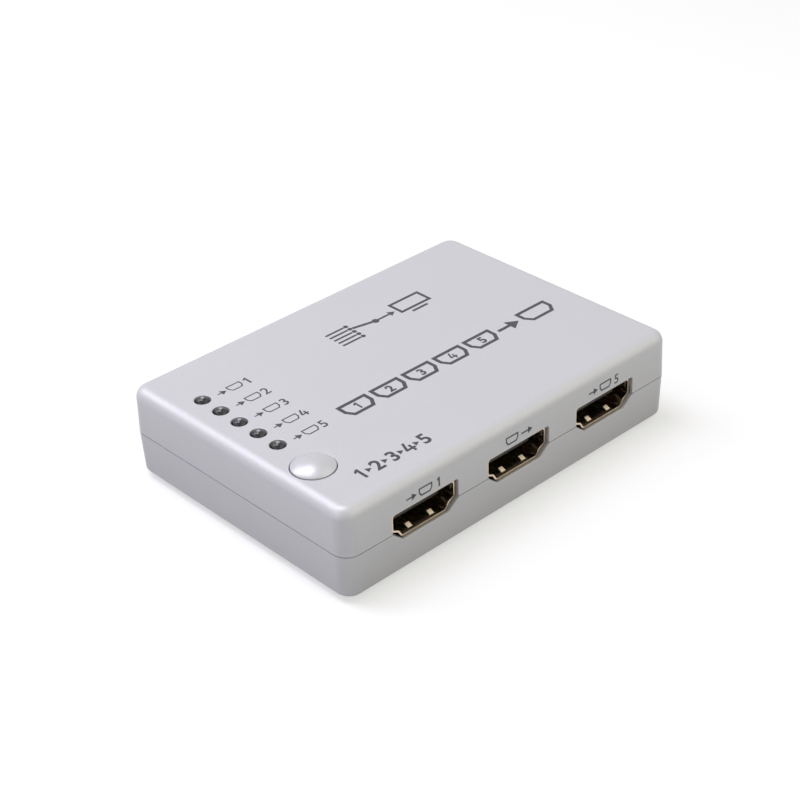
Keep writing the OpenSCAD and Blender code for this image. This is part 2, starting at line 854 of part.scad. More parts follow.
module circuit_board() {
    half = [board_l / 2, board_w / 2];
    corners = [[-half[0], -half[1]], [half[0], -half[1]], half, [-half[0], half[1]]];
    color("darkgreen")
    translate([0, 0, board_under])
        linear_extrude(board_t)
            difference() {
                polygon(rounded(corners, [for (c = corners) board_corner_r]));
                at_corners(post_x, post_y)
                    circle(r = screw_d / 2 + screw_gap);
                pin_holes();
            }
}

// Spring finger of a receptacle's underside, cut from the wall and humped up into the shell
module finger(hump_h) {
    under = [
        [finger_tip, 0],
        [finger_tip + hump_ramp, hump_h],
        [finger_tip + hump_l - hump_ramp, hump_h],
        [finger_tip + hump_l, 0],
        [finger_root + JOIN, 0]
    ];
    over = [for (i = [len(under) - 1 : -1 : 0]) under[i] + [0, metal_t]];
    across_x(finger_w)
        polygon(concat(under, over));
}

module finger_window() {
    across_x(finger_w + 2 * finger_gap)
        polygon([
            [finger_tip - finger_gap, -JOIN],
            [finger_root, -JOIN],
            [finger_root, metal_t + JOIN],
            [finger_tip - finger_gap, metal_t + JOIN]
        ]);
}

// Children at the places of a receptacle's fingers: two in each of its lower, upper and side walls
module at_lower_fingers() {
    for (side = [-1, 1])
        translate([side * finger_x, 0, 0])
            children();
}

module at_upper_fingers() {
    translate([0, 0, port_h])
        mirror([0, 0, 1])
            at_lower_fingers()
                children();
}

module at_side_fingers() {
    for (side = [-1, 1])
        translate([side * port_w / 2, 0, port_h - port_side_h / 2])
            rotate([0, -side * 90, 0])
                children();
}

module port_shell(port) {
    leg_top = port_h - (port_side_h + finger_w) / 2 - finger_gap;
    color("goldenrod")
    at_port(port) {
        difference() {
            along_y(0, port_depth)
                difference() {
                    polygon(port_outline);
                    polygon(grown(port_outline, -metal_t));
                }
            at_lower_fingers()
                finger_window();
            at_upper_fingers()
                finger_window();
            at_side_fingers()
                finger_window();
        }
        at_lower_fingers()
            finger(lower_hump_h);
        at_upper_fingers()
            finger(upper_hump_h);
        at_side_fingers()
            finger(side_hump_h);
        for (side = [-1, 1], leg_y = [leg_front, leg_rear])
            translate([side * (port_w - metal_t) / 2, leg_y, 0])
                span(
                    [-metal_t / 2, -leg_w / 2, -board_t - lead_out],
                    [metal_t / 2, leg_w / 2, leg_top]
                );
    }
}

// Heights of a contact's underside in the upper row and in the lower row
upper_contact_z = tongue_z + tongue_t / 2 - groove_depth;
lower_contact_z = tongue_z - tongue_t / 2 + groove_depth - contact_t;

// Children along a row of contacts
module in_row(count) {
    for (i = [0 : count - 1])
        translate([(i - (count - 1) / 2) * contact_pitch, 0, 0])
            children();
}

// Groove for one contact, from the tongue's tip to the back of the block
module contact_groove(z) {
    across_x(contact_w + 2 * fit_gap)
        polygon([
            [tongue_tip + contact_setback - fit_gap, z - fit_gap],
            [port_depth + JOIN, z - fit_gap],
            [port_depth + JOIN, z + contact_t + fit_gap],
            [tongue_tip + contact_setback - fit_gap, z + contact_t + fit_gap]
        ]);
}

module port_insulator(port) {
    low = tongue_z - tongue_t / 2;
    high = tongue_z + tongue_t / 2;
    color("black")
    at_port(port)
        difference() {
            union() {
                along_y(block_y, port_depth)
                    polygon(grown(port_outline, -metal_t - fit_gap));
                across_x(tongue_w)
                    polygon([
                        [tongue_tip, low + tongue_chamfer],
                        [tongue_tip + tongue_chamfer, low],
                        [block_y + JOIN, low],
                        [block_y + JOIN, high],
                        [tongue_tip + tongue_chamfer, high],
                        [tongue_tip, high - tongue_chamfer]
                    ]);
            }
            in_row(upper_contacts)
                contact_groove(upper_contact_z);
            in_row(lower_contacts)
                contact_groove(lower_contact_z);
        }
}

// Contact that runs back through the insulator, down behind it and along the board
module contact(z) {
    front = tongue_tip + contact_setback;
    drop = port_depth + tail_gap;
    heel = drop + contact_t;
    across_x(contact_w)
        polygon([
            [front, z],
            [drop, z],
            [drop, 0],
            [heel + tail_foot, 0],
            [heel + tail_foot, contact_t],
            [heel, contact_t],
            [heel, z + contact_t],
            [front, z + contact_t]
        ]);
}

module port_contacts(port) {
    color("gold")
    at_port(port) {
        in_row(upper_contacts)
            contact(upper_contact_z);
        in_row(lower_contacts)
            contact(lower_contact_z);
    }
}

module lamp(i) {
    r = lamp_d / 2;
    flange_r = lamp_flange_d / 2;
    color("dimgray")
    translate([lamp_x, lamp_y(i), lamp_base])
        rotate_extrude()
            polygon(concat(
                [[0, 0], [flange_r, 0], [flange_r, lamp_flange_h], [r, lamp_flange_h]],
                [for (p = edge_arc(0, lamp_h - r, r, 0, 90)) [abs(p[0]), p[1]]]
            ));
}

module lamp_leads() {
    color("silver")
    for (i = [1 : lamps], side = [-1, 1])
        translate([lamp_x - lead_w / 2, lamp_y(i) + (side * lead_pitch - lead_w) / 2, 0])
            span([0, 0, board_under - lead_out], [lead_w, lead_w, lamp_base]);
}

module select_button() {
    r = button_d / 2;
    stem_r = stem_d / 2;
    edge_z = top_z + button_rise;
    skirt_z = panel_z - skirt_h;
    dome_r = (r * r + dome_h * dome_h) / (2 * dome_h);
    dome_angle = asin(r / dome_r);
    lug_top = panel_z - rest_gap;
    color("silver")
    translate([button_x, button_y, 0]) {
        rotate_extrude()
            polygon(concat(
                [
                    [0, plunger_z + rest_gap],
                    [stem_r, plunger_z + rest_gap],
                    [stem_r, panel_z],
                    [r - cap_wall, panel_z],
                    [r - cap_wall, skirt_z],
                    [r, skirt_z]
                ],
                [for (i = [0 : EDGE_STEPS])
                    let (angle = dome_angle * (1 - i / EDGE_STEPS))
                    [dome_r * sin(angle), edge_z + dome_h - dome_r * (1 - cos(angle))]]
            ));
        for (side = [0, 180])
            rotate(side)
                span(
                    [-lug_w / 2, r - cap_wall / 2, lug_top - lug_t],
                    [lug_w / 2, r + lug_reach, lug_top]
                );
    }
}

module switch_base() {
    color("black")
    at_switch()
        difference() {
            span([-switch_w / 2, -switch_w / 2, 0], [switch_w / 2, switch_w / 2, switch_base_h]);
            translate([0, 0, base_floor])
                cylinder(h = switch_base_h, r = cavity_r);
        }
}

module switch_cover() {
    half = switch_w / 2;
    high = switch_base_h + cover_t;
    color("gainsboro")
    at_switch()
        difference() {
            union() {
                span([-half - cover_t, -half, switch_base_h], [half + cover_t, half, high]);
                for (side = [0, 180])
                    rotate(side)
                        span(
                            [half, -cover_tab_w / 2, high - cover_tab_h],
                            [half + cover_t, cover_tab_w / 2, high]
                        );
            }
            cylinder(h = high + JOIN, r = plunger_d / 2 + plunger_gap);
        }
}

module switch_plunger() {
    collar_z = switch_base_h - rest_gap - collar_t;
    color("black")
    at_switch()
        rotate_extrude()
            polygon([
                [0, base_floor + snap_h + rest_gap],
                [nib_r, base_floor + snap_h + rest_gap],
                [nib_r, collar_z],
                [collar_r, collar_z],
                [collar_r, collar_z + collar_t],
                [plunger_d / 2, collar_z + collar_t],
                [plunger_d / 2, plunger_h],
                [0, plunger_h]
            ]);
}

module switch_dome() {
    crown_z = snap_h - snap_crown_h;
    color("gainsboro")
    at_switch()
        translate([0, 0, base_floor])
            rotate_extrude()
                polygon([
                    [snap_r - snap_t, 0],
                    [snap_r, 0],
                    [snap_r, snap_t],
                    [snap_crown_r, crown_z],
                    [0, snap_h],
                    [0, snap_h - snap_t],
                    [snap_crown_r, crown_z - snap_t]
                ]);
}

// Distance of the switch terminals' middle from the switch's middle
function terminal_place() = switch_w / 2 + terminal_gap + terminal_t / 2;

module switch_terminals() {
    inner = terminal_place() - terminal_t / 2;
    outer = terminal_place() + terminal_t / 2;
    color("silver")
    at_switch()
        for (turn = [0, 180], side = [-1, 1])
            rotate(turn)
                translate([side * terminal_pitch / 2, 0, 0])
                    across_x(terminal_w)
                        polygon([
                            [switch_w / 2, terminal_h],
                            [inner, terminal_h],
                            [inner, -board_t - lead_out],
                            [outer, -board_t - lead_out],
                            [outer, terminal_h + terminal_t],
                            [switch_w / 2, terminal_h + terminal_t]
                        ]);
}

// Body of a jack: a block on the board with a bore, and its nose, which passes through the case wall
module jack_body(l, w, h, axis_h, bore_r, bore_depth) {
    difference() {
        union() {
            span([jack_front - l, -w / 2, 0], [jack_front, w / 2, h]);
            translate([0, 0, axis_h])
                children();
        }
        translate([0, 0, axis_h])
            rod_x(jack_mouth - bore_depth, jack_mouth + JOIN, bore_r);
        for (side = [-1, 1])
            translate([jack_tab_x(), 0, axis_h])
                span(
                    [-jack_terminal_t / 2 - fit_gap, min(0, side * w), -jack_tab_h - fit_gap],
                    [jack_terminal_t / 2 + fit_gap, max(0, side * w), jack_tab_h + fit_gap]
                );
    }
}

// Place of the side terminals along a jack
function jack_tab_x() = jack_front - jack_terminal_x;

// Terminals of a jack: one on each side with a tab that reaches the bore, and one at the back
module jack_contacts(l, w, axis_h, bore_r, back_high) {
    half_w = jack_terminal_w / 2;
    for (side = [0, 1])
        mirror([0, side, 0]) {
            translate([jack_tab_x(), w / 2, 0])
                span([-half_w, 0, -board_t - lead_out], [half_w, jack_terminal_t, axis_h + jack_tab_h]);
            translate([jack_tab_x(), 0, axis_h])
                span(
                    [-jack_terminal_t / 2, bore_r, -jack_tab_h],
                    [jack_terminal_t / 2, w / 2 + jack_terminal_t, jack_tab_h]
                );
        }
    translate([jack_front - l, 0, 0])
        span([-jack_terminal_t, -half_w, -board_t - lead_out], [0, half_w, back_high]);
}

// Holes in the board for a jack's three terminals
module jack_holes(w, l) {
    long = jack_terminal_w + 2 * hole_gap;
    short = jack_terminal_t + 2 * hole_gap;
    for (side = [-1, 1])
        translate([jack_tab_x(), side * (w + jack_terminal_t) / 2])
            square([long, short], center = true);
    translate([jack_front - l - jack_terminal_t / 2, 0])
        square([short, long], center = true);
}

module power_jack_body() {
    color("black")
    at_power_jack()
        difference() {
            jack_body(power_l, power_w, power_h, power_axis_h, power_bore_r, power_bore_depth)
                power_nose(jack_front - JOIN, jack_mouth);
            translate([0, 0, power_axis_h])
                rod_x(jack_front - power_l - JOIN, power_bore_end + JOIN, power_shank_r + fit_gap);
        }
}

module power_jack_pin() {
    color("gainsboro")
    at_power_jack()
        translate([0, 0, power_axis_h]) {
            rod_x(jack_front - power_l, power_bore_end, power_shank_r);
            rod_x(power_bore_end - JOIN, jack_mouth - power_pin_setback, power_pin_r);
        }
}

module power_jack_contacts() {
    color("silver")
    at_power_jack()
        jack_contacts(power_l, power_w, power_axis_h, power_bore_r, power_axis_h + power_shank_r);
}

module remote_jack_body() {
    color("black")
    at_remote_jack()
        jack_body(remote_l, remote_w, remote_h, remote_axis_h, remote_bore_r, remote_bore_depth)
            remote_nose(jack_front - JOIN, jack_mouth);
}

module remote_jack_contacts() {
    color("silver")
    at_remote_jack()
        jack_contacts(remote_l, remote_w, remote_axis_h, remote_bore_r, remote_axis_h);
}

// Moulded chip body with its upper edges chamfered on the two long sides
module chip_body(l, w, h) {
    translate([0, 0, board_z + chip_lift])
        across_x(l)
            polygon([
                [-w / 2, 0],
                [w / 2, 0],
                [w / 2, h - chip_bevel],
                [w / 2 - chip_bevel, h],
                [chip_bevel - w / 2, h],
                [-w / 2, h - chip_bevel]
            ]);
}

// Row of gull-wing leads that leave a chip's side at a distance from its middle
module lead_row(count, pitch, width, side, lead_h) {
    knee = side + chip_lead_knee;
    heel = knee + chip_lead_t;
    toe = heel + chip_lead_foot;
    for (i = [0 : count - 1])
        translate([(i - (count - 1) / 2) * pitch, 0, board_z])
            across_x(width)
                polygon([
                    [side, lead_h],
                    [knee, lead_h],
                    [knee, 0],
                    [toe, 0],
                    [toe, chip_lead_t],
                    [heel, chip_lead_t],
                    [heel, lead_h + chip_lead_t],
                    [side, lead_h + chip_lead_t]
                ]);
}

module selector_chip() {
    color("black")
    chip_body(selector_w, selector_w, selector_h);
}

module selector_leads() {
    lead_w = selector_pitch - selector_lead_gap;
    color("silver")
    for (turn = [0 : 90 : 270])
        rotate(turn)
            lead_row(selector_leads, selector_pitch, lead_w, selector_w / 2, selector_h / 2);
}

module microcontroller() {
    color("black")
    translate([-micro_x, 0, 0])
        chip_body(micro_l, micro_w, micro_h);
}

module microcontroller_leads() {
    lead_w = micro_pitch - micro_lead_gap;
    color("silver")
    translate([-micro_x, 0, 0])
        for (turn = [0, 180])
            rotate(turn)
                lead_row(micro_leads, micro_pitch, lead_w, micro_w / 2, micro_h / 2);
}

module regulator() {
    color("black")
    translate([regulator_x, regulator_y, 0])
        rotate(90)
            chip_body(regulator_l, regulator_w, regulator_h);
}

module regulator_leads() {
    color("silver")
    translate([regulator_x, regulator_y, 0])
        rotate(90) {
            lead_row(regulator_pins, regulator_pitch, regulator_lead_w, regulator_w / 2, regulator_h / 2);
            rotate(180)
                lead_row(1, 0, regulator_tab_w, regulator_w / 2, regulator_h / 2);
        }
}

module crystal() {
    half_l = crystal_l / 2;
    half_w = crystal_w / 2;
    corners = [[-half_l, -half_w], [half_l, -half_w], [half_l, half_w], [-half_l, half_w]];
    can_r = crystal_corner_r - crystal_rim;
    color("silver")
    translate([-micro_x, -crystal_step, board_z]) {
        linear_extrude(crystal_rim)
            polygon(rounded(corners, [for (c = corners) crystal_corner_r]));
        linear_extrude(crystal_h)
            polygon(rounded(grown(corners, -crystal_rim), [for (c = corners) can_r]));
    }
}

module bulk_capacitor() {
    r = capacitor_d / 2;
    color("darkslategray")
    translate([capacitor_x, -capacitor_y, board_z]) {
        rotate_extrude()
            polygon([
                [0, 0],
                [r - capacitor_bevel, 0],
                [r, capacitor_bevel],
                [r, capacitor_h - capacitor_bevel],
                [r - capacitor_bevel, capacitor_h],
                [0, capacitor_h]
            ]);
        for (side = [-1, 1])
            translate([side * capacitor_pitch / 2, 0, -board_t - lead_out])
                cylinder(h = board_t + lead_out + JOIN, d = lead_w);
    }
}

module chip_resistors() {
    row_y = port_depth + tail_gap + contact_t + tail_foot + resistor_gap;
    color("dimgray")
    for (port = PORTS)
        at_port(port)
            for (i = [0 : port_resistors - 1])
                translate([(i - (port_resistors - 1) / 2) * resistor_pitch, row_y, 0])
                    span([-resistor_w / 2, 0, 0], [resistor_w / 2, resistor_l, resistor_h]);
}

top_shell();
bottom_shell();
case_screws();
rubber_feet();
circuit_board();
for (port = PORTS) port_shell(port);
for (port = PORTS) port_insulator(port);
for (port = PORTS) port_contacts(port);
for (i = [1 : lamps]) lamp(i);
lamp_leads();
select_button();
switch_base();
switch_cover();
switch_plunger();
switch_dome();
switch_terminals();
power_jack_body();
power_jack_pin();
power_jack_contacts();
remote_jack_body();
remote_jack_contacts();
selector_chip();
selector_leads();
microcontroller();
microcontroller_leads();
regulator();
regulator_leads();
crystal();
bulk_capacitor();
chip_resistors();
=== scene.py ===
# Looks of the five-input video switch box: finishes, print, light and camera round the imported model.
import json
import math

import bmesh
import bpy
from mathutils import Matrix, Vector
from mathutils.bvhtree import BVHTree


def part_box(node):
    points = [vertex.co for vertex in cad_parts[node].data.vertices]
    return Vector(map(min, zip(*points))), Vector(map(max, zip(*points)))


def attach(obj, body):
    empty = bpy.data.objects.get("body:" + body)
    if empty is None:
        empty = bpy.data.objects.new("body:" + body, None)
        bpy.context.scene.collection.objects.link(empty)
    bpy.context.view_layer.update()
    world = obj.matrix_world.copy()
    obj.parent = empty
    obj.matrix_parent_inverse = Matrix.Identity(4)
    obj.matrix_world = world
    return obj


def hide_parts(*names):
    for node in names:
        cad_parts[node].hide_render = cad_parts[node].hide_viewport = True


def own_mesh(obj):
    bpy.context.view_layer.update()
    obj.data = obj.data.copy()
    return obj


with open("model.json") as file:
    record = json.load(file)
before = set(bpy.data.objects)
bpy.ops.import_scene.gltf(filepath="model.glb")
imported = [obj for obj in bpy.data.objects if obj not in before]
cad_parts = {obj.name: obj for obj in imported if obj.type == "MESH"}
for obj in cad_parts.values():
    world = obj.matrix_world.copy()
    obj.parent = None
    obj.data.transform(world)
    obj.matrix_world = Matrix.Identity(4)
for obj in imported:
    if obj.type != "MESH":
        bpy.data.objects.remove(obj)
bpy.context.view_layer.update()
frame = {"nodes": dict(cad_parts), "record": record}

# Sizes of the part and of its print are in millimetres, and MM turns them into metres
MM = 0.001
NODES = frame["nodes"]
CASE = "case"

# Receptacles: the front row and the back row, each from left to right as seen from that side
FRONT_PORTS = ["input_1", "output", "input_5"]
BACK_PORTS = ["input_4", "input_3", "input_2"]
PORTS = FRONT_PORTS + BACK_PORTS
INPUTS = [1, 2, 3, 4, 5]


def node_middle(node):
    """Middle of a node's box, in millimetres."""
    low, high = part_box(node)
    return (low + high) / (2 * MM)


# Materials: colours are linear values, and the sizes and heights of a grain are in millimetres

SILVER = (0.62, 0.62, 0.645)
PAINT_METALLIC = 0.25
# Painted shade on the silver paint, darker towards the bottom: heights between which it fades to none going
# up, and the share of the paint's colour left at the lower one
PAINTED_SHADE_LOW_Z = 1.5
PAINTED_SHADE_HIGH_Z = 16.0
PAINTED_SHADE_LEAST = 0.84

GOLD = (0.66, 0.53, 0.39)
GOLD_ROUGHNESS = 0.16
# Painted highlights on the ramps of the receptacles' lower fingers: their look, the distance between
# receptacles, the fingers' distance from the middle of a receptacle, half a highlight's width, and the
# fingers' ramps, by their distance from the middle of the case and by their height
PAINTED_GLINT = (0.86, 0.76, 0.62)
PAINTED_GLINT_ROUGHNESS = 0.55
PORT_PITCH = node_middle("input_5_shell").x - node_middle("output_shell").x
FINGER_X = 2.6
GLINT_HALF_W = 0.48
RAMP_Y = (27.2, 28.2)
RAMP_Z = (8.12, 8.6)

RESIN = (0.006, 0.006, 0.009)
RESIN_ROUGHNESS = 0.13
RESIN_IOR = 1.5
# Colour of the painted highlight on each lamp's lens, a pale spot round its axis
PAINTED_HIGHLIGHT = (0.5, 0.5, 0.54)
# Place of a lamp's axis, and distances from it between which its painted highlight fades, as shares of the
# lamp's width
LAMP_AXIS = 0.5
HIGHLIGHT_FADE = (0.03, 0.125)

MASK = (0.02, 0.12, 0.05)
MASK_ROUGHNESS = 0.36
INK = (0.045, 0.045, 0.055)
INK_ROUGHNESS = 0.5

# Stretch of a noise's values over which a colour or a number runs from end to end
NOISE_SPAN = (0.3, 0.7)
# Scales of a grain that is even, or drawn out along one direction
EVEN = (1, 1, 1)
ALONG_X = (0.06, 1, 1)
ALONG_Y = (1, 0.06, 1)
COPPER_RUN = (1, 0.12, 1)
# Size of the clouds in a moulded plastic, in sizes of its texture
CLOUD_PER_TEXTURE = 12
# Heights of bumps
FINE_BUMP = 0.002
INK_BUMP = 0.003
TEXTURE_BUMP = 0.01
COPPER_BUMP = 0.02


def new_material(name, colour, roughness, metallic=0.0):
    """Material with one Principled shader."""
    material = bpy.data.materials.new(name)
    material.use_nodes = True
    shader = shader_of(material)
    shader.inputs["Base Color"].default_value = (*colour, 1)
    shader.inputs["Roughness"].default_value = roughness
    shader.inputs["Metallic"].default_value = metallic
    return material


def shader_of(material):
    return material.node_tree.nodes["Principled BSDF"]


def grain(material, size, detail=2.0, stretch=EVEN):
    """Noise in the part's own frame, with features of about the given size."""
    nodes, links = material.node_tree.nodes, material.node_tree.links
    place = nodes.new("ShaderNodeTexCoord")
    scale = nodes.new("ShaderNodeMapping")
    scale.inputs["Scale"].default_value = stretch
    noise = nodes.new("ShaderNodeTexNoise")
    noise.inputs["Scale"].default_value = 1 / (size * MM)
    noise.inputs["Detail"].default_value = detail
    links.new(place.outputs["Object"], scale.inputs["Vector"])
    links.new(scale.outputs["Vector"], noise.inputs["Vector"])
    return noise.outputs["Fac"]


def axes_of(material, coordinates):
    """X, Y and Z of a place: Object gives it in the part's own frame, Generated as shares of a node's box."""
    nodes, links = material.node_tree.nodes, material.node_tree.links
    place = nodes.new("ShaderNodeTexCoord")
    axes = nodes.new("ShaderNodeSeparateXYZ")
    links.new(place.outputs[coordinates], axes.inputs["Vector"])
    return axes.outputs


def maths(material, operation, *values):
    """Output of a Math node whose inputs are numbers or other outputs."""
    node = material.node_tree.nodes.new("ShaderNodeMath")
    node.operation = operation
    for socket, value in zip(node.inputs, values):
        if isinstance(value, (int, float)):
            socket.default_value = value
        else:
            material.node_tree.links.new(value, socket)
    return node.outputs[0]


def within(material, value, low, high):
    """1 where the value lies between two distances in millimetres, and 0 elsewhere."""
    over = maths(material, "GREATER_THAN", value, low * MM)
    under = maths(material, "LESS_THAN", value, high * MM)
    return maths(material, "MULTIPLY", over, under)


def spread(material, source, low, high, span=NOISE_SPAN):
    """Number that runs from low to high as the source crosses the span."""
    node = material.node_tree.nodes.new("ShaderNodeMapRange")
    node.inputs["From Min"].default_value, node.inputs["From Max"].default_value = span
    node.inputs["To Min"].default_value = low
    node.inputs["To Max"].default_value = high
    material.node_tree.links.new(source, node.inputs["Value"])
    return node.outputs["Result"]


def vary_colour(material, source, dark, light):
    """Base colour that runs from dark to light with the source."""
    ramp = material.node_tree.nodes.new("ShaderNodeValToRGB")
    for element, position, colour in zip(ramp.color_ramp.elements, NOISE_SPAN, (dark, light)):
        element.position = position
        element.color = (*colour, 1)
    links = material.node_tree.links
    links.new(source, ramp.inputs["Fac"])
    links.new(ramp.outputs["Color"], shader_of(material).inputs["Base Color"])


def vary_tint(material, source, colour, darker, lighter):
    """Base colour that runs between two multiples of one colour with the source."""
    dark = [channel * darker for channel in colour]
    light = [channel * lighter for channel in colour]
    vary_colour(material, source, dark, light)


def vary_roughness(material, source, roughness, by):
    """Roughness that runs with the source, as far below the given one as above it."""
    varied = spread(material, source, roughness - by, roughness + by)
    material.node_tree.links.new(varied, shader_of(material).inputs["Roughness"])


def add_bump(material, *layers):
    """Bump from one or more layers of (source, height in millimetres)."""
    nodes, links = material.node_tree.nodes, material.node_tree.links
    below = None
    for source, height in layers:
        bump = nodes.new("ShaderNodeBump")
        bump.inputs["Distance"].default_value = height * MM
        links.new(source, bump.inputs["Height"])
        if below:
            links.new(below, bump.inputs["Normal"])
        below = bump.outputs["Normal"]
    links.new(below, shader_of(material).inputs["Normal"])


def shade_by_height(material, low, high, least):
    """Painted shade: multiply the linked base colour by a number that rises from least to 1 between two
    heights.
    """
    nodes, links = material.node_tree.nodes, material.node_tree.links
    height = axes_of(material, "Object")["Z"]
    factor = spread(material, height, least, 1, span=(low * MM, high * MM))
    socket = shader_of(material).inputs["Base Color"]
    source = socket.links[0].from_socket
    product = nodes.new("ShaderNodeVectorMath")
    product.operation = "SCALE"
    links.new(source, product.inputs["Vector"])
    links.new(factor, product.inputs["Scale"])
    links.new(product.outputs["Vector"], socket)


def mix_in(material, socket_name, factor, colour):
    """Blend what is linked to a socket of the shader with one colour, by the factor."""
    nodes, links = material.node_tree.nodes, material.node_tree.links
    socket = shader_of(material).inputs[socket_name]
    source = socket.links[0].from_socket
    blend = nodes.new("ShaderNodeMix")
    blend.data_type = "RGBA"
    inputs = {each.identifier: each for each in blend.inputs}
    outputs = {each.identifier: each for each in blend.outputs}
    inputs["B_Color"].default_value = (*colour, 1)
    links.new(factor, inputs["Factor_Float"])
    links.new(source, inputs["A_Color"])
    links.new(outputs["Result_Color"], socket)


def silver_paint(name, roughness, flake_depth, peel_height):
    """Silver paint: very fine flake, a faint orange peel, and painted shade that darkens it towards the lower
    edge.
    """
    material = new_material(name, SILVER, roughness, metallic=PAINT_METALLIC)
    flake = grain(material, size=0.11, detail=1.0)
    cloud = grain(material, size=7.0, detail=3.0)
    peel = grain(material, size=1.4)
    vary_tint(material, flake, SILVER, darker=1 - flake_depth, lighter=1 + flake_depth)
    vary_roughness(material, cloud, roughness, by=0.03)
    # painted shade: the paint's colour darkens towards the bottom of the case
    shade_by_height(material, PAINTED_SHADE_LOW_Z, PAINTED_SHADE_HIGH_Z, PAINTED_SHADE_LEAST)
    add_bump(material, (peel, peel_height), (flake, FINE_BUMP))
    return material


def moulded_plastic(name, colour, roughness, texture=0.25):
    """Moulded plastic with a fine spark-eroded texture."""
    material = new_material(name, colour, roughness)
    fine = grain(material, size=texture)
    cloud = grain(material, size=CLOUD_PER_TEXTURE * texture, detail=3.0)
    vary_tint(material, cloud, colour, darker=0.85, lighter=1.15)
    vary_roughness(material, fine, roughness, by=0.06)
    add_bump(material, (fine, TEXTURE_BUMP))
    return material


def drawn_metal(name, colour, roughness, along=EVEN):
    """Sheet or drawn metal with a little tarnish and fine marks, which may run along one direction."""
    material = new_material(name, colour, roughness, metallic=1.0)
    marks = grain(material, size=0.15, detail=3.0, stretch=along)
    tarnish = grain(material, size=2.5, detail=3.0)
    vary_tint(material, tarnish, colour, darker=0.9, lighter=1.04)
    vary_roughness(material, marks, roughness, by=0.07)
    add_bump(material, (marks, FINE_BUMP))
    return material


def plated_shell(name):
    """Pale gold plating, with painted highlights, brighter and satin, on the ramps of the lower fingers."""
    material = drawn_metal(name, GOLD, GOLD_ROUGHNESS, along=ALONG_Y)
    axes = axes_of(material, "Object")
    half = PORT_PITCH * MM / 2
    across = maths(material, "ABSOLUTE", maths(material, "WRAP", axes["X"], half, -half))
    aside = maths(material, "ABSOLUTE", maths(material, "SUBTRACT", across, FINGER_X * MM))
    on_finger = maths(material, "LESS_THAN", aside, GLINT_HALF_W * MM)
    at_depth = within(material, maths(material, "ABSOLUTE", axes["Y"]), *RAMP_Y)
    at_height = within(material, axes["Z"], *RAMP_Z)
    painted_glint = maths(material, "MULTIPLY", on_finger, maths(material, "MULTIPLY", at_depth, at_height))
    # painted highlight: paler, rougher gold on the ramps of the lower fingers
    mix_in(material, "Base Color", painted_glint, PAINTED_GLINT)
    mix_in(material, "Roughness", painted_glint, (PAINTED_GLINT_ROUGHNESS,) * 3)
    return material


def smoked_resin(name):
    """Dark clear resin with a faint flow in its colour, and a painted highlight: a pale spot round the lamp's
    axis.
    """
    material = new_material(name, RESIN, RESIN_ROUGHNESS)
    shader_of(material).inputs["IOR"].default_value = RESIN_IOR
    flow = grain(material, size=1.1)
    vary_colour(material, flow, dark=(0.003, 0.003, 0.005), light=(0.009, 0.009, 0.013))
    vary_roughness(material, flow, RESIN_ROUGHNESS, by=0.03)
    add_bump(material, (flow, FINE_BUMP))
    axes = axes_of(material, "Generated")
    offsets = [maths(material, "SUBTRACT", axes[axis], LAMP_AXIS) for axis in "XY"]
    squares = [maths(material, "MULTIPLY", offset, offset) for offset in offsets]
    off_axis = maths(material, "SQRT", maths(material, "ADD", *squares))
    # painted highlight: a pale spot on the lens round the lamp's axis
    mix_in(material, "Base Color", spread(material, off_axis, 1, 0, span=HIGHLIGHT_FADE), PAINTED_HIGHLIGHT)
    return material


def solder_mask(name):
    """Green board: mask over copper, lighter where the copper runs."""
    material = new_material(name, MASK, MASK_ROUGHNESS)
    copper = grain(material, size=1.8, detail=0.0, stretch=COPPER_RUN)
    vary_colour(material, copper, dark=(0.012, 0.085, 0.035), light=(0.035, 0.19, 0.08))
    vary_roughness(material, grain(material, size=0.3), MASK_ROUGHNESS, by=0.06)
    add_bump(material, (copper, COPPER_BUMP))
    return material


def print_ink(name):
    """Pad-printed ink with a slightly uneven cover."""
    material = new_material(name, INK, INK_ROUGHNESS)
    cover = grain(material, size=0.25, detail=3.0)
    vary_tint(material, cover, INK, darker=0.8, lighter=1.3)
    vary_roughness(material, cover, INK_ROUGHNESS, by=0.08)
    add_bump(material, (cover, INK_BUMP))
    return material


